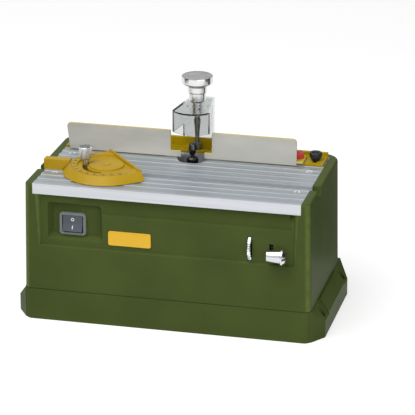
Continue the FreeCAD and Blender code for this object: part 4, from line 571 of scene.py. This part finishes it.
# Plate locks: knobs of red moulded plastic with short ribs, each on a stud that clamps a plate's foot.
# The crown of each stands a little proud of its ribs.
lock_stud = [(0, 160.1), (2, 160.1), (2, 165.6), (0, 165.6)]
lock_rings = [(6.3, 165.5), (7, 166.2), (7, 170.8), (6.2, 171.7)]
red_moulding = moulded("red_plastic", [(0.3, "C23440"), (0.7, "CE424E")], (0.3, 0.4), 0.1)
for side, x in (("left", -118), ("right", 118)):
    place = Matrix.Translation((x * MM, 50 * MM, 0))
    lock = bmesh.new()
    turned_form(lock, lock_stud, place, 24)
    crown = ribbed(lock, lock_rings, 18, 0.55, place)
    push(lock, crown, 1.4 * MM, (0, 0, 0.3 * MM))
    settle(f"{side}_plate_lock_ribbed", lock, f"{side}_lock", red_moulding, "red_plastic", f"{side}_plate_lock")

# Clamp knobs: mushroom knobs of black moulded plastic with shallow ribs.
# Each is on a stud that holds the carrier on the table.
clamp_stud = [(0, 148), (2, 148), (2, 163.4), (0, 163.4)]
clamp_rings = [(4.7, 163.3), (5.0, 164.6), (5.9, 166.2), (6.9, 167.4), (7, 168.2), (7, 171.4), (6.7, 172.3),
               (6.0, 172.9)]
for side, x in (("left", -138), ("right", 138)):
    place = Matrix.Translation((x * MM, 52 * MM, 0))
    knob = bmesh.new()
    turned_form(knob, clamp_stud, place, 24)
    crown = ribbed(knob, clamp_rings, 16, 0.5, place)
    push(knob, crown, 1.8 * MM, (0, 0, 0.5 * MM))
    settle(f"{side}_clamp_knob_ribbed", knob, f"{side}_clamp", black_moulding, "black_plastic",
           f"{side}_clamp_knob")

# Guard post and hood: a turned steel post on the carrier, and a hood moulded of clear plastic over the
# cutter. The hood slides on the post by a chromed bush.
post_steel = worked("post_steel", [(0.3, "74767A"), (0.7, "94969A")], (0.26, 0.36), (1, 1, 6))
dress(post_steel, "guard_post")
dress(chrome, "guard_bush")
clear = new_finish("clear_plastic", Transmission_Weight=1.0, IOR=1.12)
paint(clear, tones(clear, pattern(clear, 20.0), [(0.3, "D2D5D4"), (0.7, "DADCDB")]))
gloss(clear, pattern(clear, 300.0), 0.05, 0.12)
dress(clear, "guard_hood")
soften("guard_hood", 0.25 * MM)

# Guard knob: turned aluminium with a broad rim, a grooved collar and a cone at its foot.
# Its bore is threaded on the post, and it holds the hood at its height.
knob_bore = [(0, 245.2), (3.1, 245.2), (3.1, 219.9)]
knob_foot = [(8.2, 219.9), (8.7, 220.2), (9.5, 221.6), (9.8, 222.2), (9.8, 230.2), (9.0, 230.6), (9.0, 231.3)]
knob_collar = [(10.5, 231.6), (10.9, 232.0), (10.9, 237.6), (10.3, 238.3), (10.0, 238.6)]
knob_rim = [(14.6, 239.8), (17.0, 241.3), (17.6, 242.2), (17.8, 243.0), (17.8, 249.2), (17.5, 249.9),
            (16.8, 250.3), (15.2, 250.4), (14.4, 250.1), (0, 250.1)]
guard_knob = bmesh.new()
turned_form(guard_knob, knob_bore + knob_foot + knob_collar + knob_rim, Matrix.Translation((0, 59 * MM, 0)), 96)
knob_metal = new_finish("turned_aluminium", Metallic=1.0)
lathe_lines = pattern(knob_metal, 500.0, 2.0, (1, 1, 0.12))
knob_side = tones(knob_metal, lathe_lines, [(0.3, "D6D6D6"), (0.7, "E8E8E8")])
knob_top = tones(knob_metal, pattern(knob_metal, 90.0), [(0.3, "9A9A9A"), (0.7, "B6B6B6")])
paint(knob_metal, blend(knob_metal, span(knob_metal, "Z", 0.8, 0.95), knob_side, knob_top))
gloss(knob_metal, lathe_lines, 0.16, 0.24)
relief(knob_metal, lathe_lines, 0.01 * MM, 0.1)
settle("guard_knob_turned", guard_knob, "hood_knob", knob_metal, "satin_aluminium", "guard_knob")

# Mitre gauge: a steel bar that slides in the table's slot and a half-round cast head that turns on it.
# Both are in ochre yellow paint.
gauge_yellow = moulded("gauge_yellow", [(0.3, "A88712"), (0.7, "B4931A")], (0.4, 0.5), 0.1,
                       Specular_IOR_Level=0.2)
dress(gauge_yellow, "mitre_bar", "mitre_head")
soften("mitre_bar", 0.4 * MM)
soften("mitre_head", 0.6 * MM)

# Mitre pivot screw: a turned steel screw with a flat head in the gauge's yellow paint.
# Its shank goes through the head into the bar, and the head turns about it.
pivot_profile = [(0, 154), (2.2, 154), (2.2, 169.0), (4.5, 169.2), (4.5, 169.5), (4.2, 169.8), (1.4, 169.9),
                 (0, 169.9)]
pivot = bmesh.new()
turned_form(pivot, pivot_profile, Matrix.Translation((-81 * MM, -32.5 * MM, 0)), 48)
settle("mitre_pivot_flat", pivot, "gauge_bar", gauge_yellow, "yellow_paint", "mitre_pivot_screw")

# Mitre scale: strokes every five degrees and angles every fifteen round the head's upper ring.
# They are printed on the paint in dark ink.
stroke_end, number_foot = 40.4, 34.0
scale_place = (Matrix.Translation((-81 * MM, -32.5 * MM, 169 * MM))
               @ Matrix.Rotation(math.radians(39.7), 4, "Z"))
scale_form = bmesh.new()
for degrees in range(-100, 101, 5):
    before = set(scale_form.verts)
    length = 3.0 if degrees % 15 == 0 else 2.0
    slab(scale_form, (stroke_end - length, -0.32, -0.02), (stroke_end, 0.32, 0.06), 2, 0.1, 2)
    bmesh.ops.transform(scale_form, verts=[v for v in scale_form.verts if v not in before],
                        matrix=scale_place @ Matrix.Rotation(math.radians(180 + degrees), 4, "Z"))
for degrees in range(-90, 91, 15):
    letters = bpy.data.curves.new("scale_number", "FONT")
    letters.body = str(abs(degrees))
    letters.size = 3.6 * MM
    letters.offset = 0.08 * MM
    letters.extrude = 0.04 * MM
    letters.align_x = "CENTER"
    letters.align_y = "BOTTOM"
    carrier = bpy.data.objects.new("scale_number", letters)
    outline = bpy.data.meshes.new_from_object(carrier)
    bpy.data.objects.remove(carrier)
    outline.transform(scale_place @ Matrix.Rotation(math.radians(180 + degrees), 4, "Z")
                      @ Matrix.Translation((number_foot * MM, 0, 0.03 * MM))
                      @ Matrix.Rotation(math.radians(-90), 4, "Z"))
    scale_form.from_mesh(outline)
    bpy.data.meshes.remove(outline)
print_dark = moulded("print_dark", [(0.3, "241C0A"), (0.7, "302610")], (0.5, 0.6), 0.05)
settle("mitre_scale", scale_form, "gauge_head", print_dark, "black_plastic")

# Mitre clamp knob: a nickel-plated steel knob with a straight knurl, on a stud through the head's curved slot.
# Screwed down on its collar, it holds the head at an angle.
knob_stud = [(0, 152.3), (2, 152.3), (2, 167.2), (3.6, 167.2), (3.6, 173.6), (0, 173.6)]
knob_rings = [(5.7, 173.5), (7.2, 175), (7.2, 187.0), (6.5, 187.7)]
knob_place = Matrix.Translation((-105 * MM, -32.5 * MM, 0))
mitre_knob = bmesh.new()
turned_form(mitre_knob, knob_stud, knob_place, 36)
crown = ribbed(mitre_knob, knob_rings, 40, 0.35, knob_place)
push(mitre_knob, crown, 0.8 * MM, (0, 0, 0.3 * MM))
nickel = worked("knurled_nickel", [(0.3, "BEC0C2"), (0.7, "D4D6D8")], (0.24, 0.32), (1, 1, 3), 300.0, 0.1)
settle("mitre_clamp_knob_knurled", mitre_knob, "gauge_knob", nickel, "chrome_metal", "mitre_clamp_knob")

# Studio: a pale floor that runs to the horizon under even light, a large soft lamp high in front, a weaker
# one low on the right, and dark flags beside and behind the machine that only reflections see.


def seen_directly(tree):
    """1 where the camera, a reflection or clear plastic looks straight at a surface, and 0 for its light."""
    path = tree.nodes.new("ShaderNodeLightPath")
    either = tree.nodes.new("ShaderNodeMath")
    either.operation = "MAXIMUM"
    any_of = tree.nodes.new("ShaderNodeMath")
    any_of.operation = "MAXIMUM"
    tree.links.new(path.outputs["Is Camera Ray"], either.inputs[0])
    tree.links.new(path.outputs["Is Glossy Ray"], either.inputs[1])
    tree.links.new(either.outputs[0], any_of.inputs[0])
    tree.links.new(path.outputs["Is Transmission Ray"], any_of.inputs[1])
    return any_of.outputs[0]


def stage_sheet(name, place, spread, turn_axis, finish):
    """Flat sheet of the studio, which is not part of the machine."""
    form = bmesh.new()
    corners = bmesh.ops.create_grid(form, x_segments=1, y_segments=1, size=0.5)["verts"]
    bmesh.ops.scale(form, vec=(*spread, 1), verts=corners)
    if turn_axis:
        upright = Matrix.Rotation(math.radians(90), 3, turn_axis)
        bmesh.ops.rotate(form, verts=corners, cent=(0, 0, 0), matrix=upright)
    bmesh.ops.translate(form, verts=corners, vec=place)
    mesh = bpy.data.meshes.new(name)
    form.to_mesh(mesh)
    form.free()
    mesh.materials.append(finish)
    sheet = bpy.data.objects.new(name, mesh)
    bpy.context.scene.collection.objects.link(sheet)
    return sheet


floor_white = bpy.data.materials.new("floor_white")
floor_white.use_nodes = True
tree = floor_white.node_tree
tree.nodes.clear()
out = tree.nodes.new("ShaderNodeOutputMaterial")
both = tree.nodes.new("ShaderNodeAddShader")
lit = tree.nodes.new("ShaderNodeBsdfDiffuse")
lit.inputs["Color"].default_value = (0.5, 0.5, 0.5, 1)
glow = tree.nodes.new("ShaderNodeEmission")
amount = tree.nodes.new("ShaderNodeMath")
amount.operation = "MULTIPLY"
amount.inputs[1].default_value = 0.62
tree.links.new(seen_directly(tree), amount.inputs[0])
tree.links.new(amount.outputs[0], glow.inputs["Strength"])
tree.links.new(lit.outputs[0], both.inputs[0])
tree.links.new(glow.outputs[0], both.inputs[1])
tree.links.new(both.outputs[0], out.inputs["Surface"])
stage_sheet("studio_floor", (0, 0, 0), (28, 28), None, floor_white)

world = bpy.data.worlds.new("studio")
bpy.context.scene.world = world
world.use_nodes = True
tree = world.node_tree
even = tree.nodes["Background"]
even.inputs["Color"].default_value = (1, 1, 1, 1)
even.inputs["Strength"].default_value = 0.36
white = tree.nodes.new("ShaderNodeBackground")
choice = tree.nodes.new("ShaderNodeMixShader")
tree.links.new(seen_directly(tree), choice.inputs["Fac"])
tree.links.new(even.outputs[0], choice.inputs[1])
tree.links.new(white.outputs[0], choice.inputs[2])
tree.links.new(choice.outputs[0], tree.nodes["World Output"].inputs["Surface"])

flag_black = bpy.data.materials.new("flag_black")
flag_black.use_nodes = True
shader_of(flag_black).inputs["Base Color"].default_value = (0.03, 0.03, 0.03, 1)
shader_of(flag_black).inputs["Roughness"].default_value = 1.0
for name, place, spread, turn_axis in (("flag_left", (-0.75, -0.25, 0.36), (0.7, 0.62), "Y"),
                                       ("flag_right", (0.8, 0.1, 0.36), (0.7, 0.62), "Y"),
                                       ("flag_behind", (0.46, 0.16, 0.25), (0.56, 0.5), "X"),
                                       ("flag_low", (0.46, 0.0, 0.001), (0.56, 0.32), "Z")):
    flag = stage_sheet(name, place, spread, turn_axis, flag_black)
    flag.visible_camera = False
    flag.visible_diffuse = False
    flag.visible_transmission = False
    flag.visible_shadow = False

machine_middle = Vector((0, 0, 0.1))
for name, place, energy in (("key_lamp", (-0.6, -1.15, 2.4), 59), ("edge_lamp", (1.6, -1.9, 0.6), 25)):
    lamp = bpy.data.lights.new(name, "AREA")
    lamp.size = 2.2
    lamp.energy = energy
    stand = bpy.data.objects.new(name, lamp)
    stand.location = place
    stand.rotation_euler = (machine_middle - stand.location).to_track_quat("-Z", "Y").to_euler()
    bpy.context.scene.collection.objects.link(stand)

camera = bpy.data.cameras.new("camera")
camera.sensor_width = 36
camera.lens = 216.72
camera.clip_end = 50
eye = bpy.data.objects.new("camera", camera)
eye.location = (0.6424, -2.5461, 1.0728)
aim = Vector((0.02968, -0.01491, 0.12113))
eye.rotation_euler = (aim - eye.location).to_track_quat("-Z", "Y").to_euler()
bpy.context.scene.collection.objects.link(eye)
bpy.context.scene.camera = eye
bpy.context.scene.view_settings.view_transform = "Standard"
